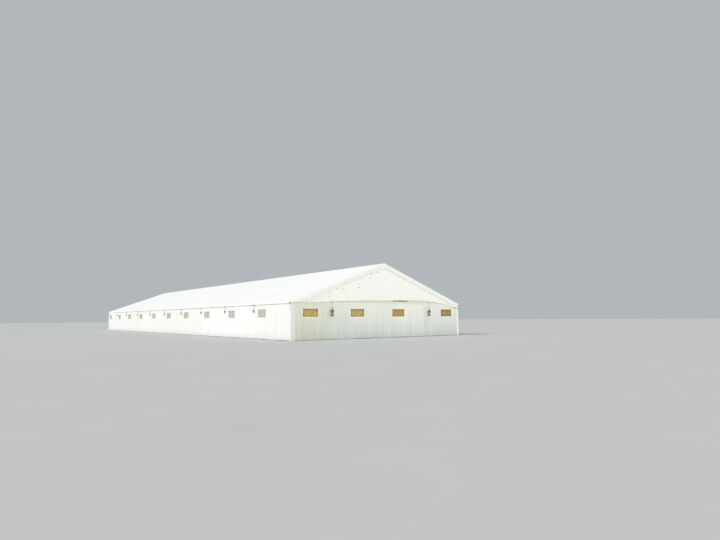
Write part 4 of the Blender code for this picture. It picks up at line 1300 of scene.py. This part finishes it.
# %% Pegs and bolts
PEG_X, PEG_Y, PEG_Z = 3.7725, np.array([-0.042, 0.042]), 0.0062
BOLT_OUT = 0.0223  # from the middle of a frame, just off its face
BOLTS = np.array([(3.708, 1.13), (3.708, 1.06), (3.63, 1.215), (3.55, 1.245), (0.06, 2.545), (0.14, 2.515)])
peg = turned([(0, 0), (0.006, 0), (0.006, 0.004), (0.0105, 0.005), (0.0105, 0.009), (0.006, 0.0125),
              (0, 0.0135)], 10)
bolt = turned([(0, 0), (0.0065, 0), (0.0065, 0.0035), (0.0035, 0.0045), (0.0035, 0.007), (0, 0.007)], 6)
peg_x, peg_y = np.meshgrid([-PEG_X, PEG_X], (FRAME_Y[:, None] + PEG_Y).ravel())
bolt_x, bolt_y = np.meshgrid(np.concatenate([BOLTS[:, 0], -BOLTS[:, 0]]), FRAME_Y)
bolt_z = np.tile(BOLTS[:, 1], 2)
shapes = [copies(peg, joined(peg_x, peg_y, PEG_Z).reshape(-1, 3))]
for way in (-1, 1):
    places = joined(bolt_x, bolt_y + way * BOLT_OUT, bolt_z).reshape(-1, 3)
    shapes.append(copies(lies_along(bolt, way), places))
add_piece("pegs_and_bolts", shapes, [zinc])
print("pegs", peg_x.size, "bolts", 2 * bolt_x.size)

# %% Toggles on the gables
# For each size its places, across and up, as seen from in front of the gable
TOGGLES = {
    1.0: np.array([(-2.338, 1.538), (-2.365, 1.407), (-2.061, 1.666), (-1.758, 1.658), (-1.162, 1.852),
                   (-1.116, 1.731), (-0.591, 2.229), (-0.61, 2.076), (-0.336, 2.276)]),
    0.62: np.array([(0.174, 2.415), (0.299, 2.346), (0.472, 2.282), (0.595, 2.233), (0.915, 2.083),
                    (1.268, 2.005), (1.502, 1.958), (1.652, 1.833), (1.93, 1.672), (2.11, 1.568)])}
TIES = np.array([-3.528, -3.214, -2.902, -2.61, -1.907, -1.61, 3.34])
disc = turned([(0, 0), (0.015, 0), (0.015, 0.0015), (0.008, 0.003), (0, 0.003)], 12)
button_x = np.array([-0.015, -0.011, 0.011, 0.015])
button = tube(joined(button_x, 0, 0), [0.003, 0.0048, 0.0048, 0.003], 8)
tie = [box_bar((0, 0, 0), (0.014, 0.0014, 0.034), 1), copies(button, (0, -0.0045, -0.014))]


def gable_face(x, z):
    """How far out the cloth's face is at (x, z): on the flap down to its hem, and on the panel below it."""
    down, hem = roof_height(x) - z, gable_hem(x)
    panel = GABLE_Y + 0.0008 + panel_belly(x, (z - hem) / (panel_top(x) - hem))
    return np.where(down < FLAP_DROP, COVER_END_Y + 0.0003 + flap_stand(x, down / FLAP_DROP)[0], panel)


def toggles(end):
    """At each place a disc and a button, scaled to their size and set on the face of the cloth."""
    shapes = []
    for scale, places in TOGGLES.items():
        across, up = places.T
        face = gable_face(across, up)
        for shape, out in ((lies_along(disc, end), 0.0), (button, 0.0072 * scale)):
            small = shape._replace(points=shape.points * scale)
            shapes.append(copies(small, joined(-end * across, end * (face + out), up)))
    return shapes


def hem_ties(end):
    """A tab of webbing with a button on it at each place where the hem is tied to the rail."""
    places = joined(-end * TIES, end * (GABLE_Y + 0.0115), gable_hem(TIES) - 0.004)
    return [copies(s, places, pi if end > 0 else 0) for s in tie]


def corner_strap(end):
    """A flat tube along the gable, round the leg in a quarter circle of 10 mm, and back along the side."""
    turn = np.linspace(0, pi / 2, 6)
    x = np.concatenate([[3.43, 3.5, 3.585, 3.68], 3.7554 + 0.01 * np.sin(turn), [3.7654, 3.7654]])
    y = np.concatenate([[12.5404, 12.542, 12.5466, 12.5474], 12.5374 + 0.01 * np.cos(turn), [12.5, 12.44]])
    z = np.interp(x, [3.43, 3.68], [1.078, 1.052])
    strap = tube(joined(-end * x, end * y, z), 0.0012, 4, 1, flatten=14.0)
    return [strap, copies(button, (-end * 3.452, end * 12.547, 1.076))]


for name, end in ENDS.items():
    shapes = toggles(end) + hem_ties(end) + corner_strap(end)
    add_piece(f"{name}_gable_toggles", shapes, [lantern_iron, webbing])
print("toggles", 2 * sum(len(places) for places in TOGGLES.values()), "hem ties", 2 * len(TIES))

# %% [markdown]
# ## Floor and light
#
# White cloth only looks white beside something greyer, so the floor is a pale warm grey and the sky behind
# it a shade deeper. A broad sun from the left lights the roof and the long side, as on the day of the
# photograph, and leaves the gable in even shade. A second sun, so wide that it casts no edge of its own,
# lifts the gable from the front until its folds can be read.

# %% Floor, sky, sun and fill
FLOOR_HALF = 150
floor_corners = [(x * FLOOR_HALF, y * FLOOR_HALF, 0) for x, y in ((-1, -1), (1, -1), (1, 1), (-1, 1))]
floor_mesh = bpy.data.meshes.new("floor")
floor_mesh.from_pydata(floor_corners, [], [(0, 1, 2, 3)])
floor_mesh.materials.append(mottled("pale_floor", {"Roughness": 0.85}, (0.5, 0.5, 0.49), (0.56, 0.56, 0.545),
                                    0.9, 6.0, 0.6))
floor = bpy.data.objects.new("floor", floor_mesh)
bpy.context.scene.collection.objects.link(floor)

world = bpy.data.worlds.new("sky")
world.use_nodes = True
sky = world.node_tree.nodes["Background"].inputs
sky["Color"].default_value = (0.62, 0.66, 0.7, 1)
sky["Strength"].default_value = 0.72
bpy.context.scene.world = world


def add_sun(name, energy, colour, aim, width):
    """A sun that shines along aim, and is width degrees wide in the sky."""
    light = bpy.data.lights.new(name, "SUN")
    light.energy, light.color, light.angle = energy, colour, radians(width)
    thing = bpy.data.objects.new(name, light)
    thing.rotation_euler = Vector(aim).to_track_quat("-Z", "Y").to_euler()
    thing.location = (0, 0, 20)
    bpy.context.scene.collection.objects.link(thing)


add_sun("sun", 2.26, (1.0, 0.99, 0.965), (0.84, 0.02, -0.45), 10)
add_sun("front_fill", 2.11, (1.0, 0.99, 0.955), (0.1, 1.0, -0.3), 80)
bpy.context.scene.view_settings.view_transform = "Standard"

# %% Sizes, and the end
print("sheets:", len(sheet_names))
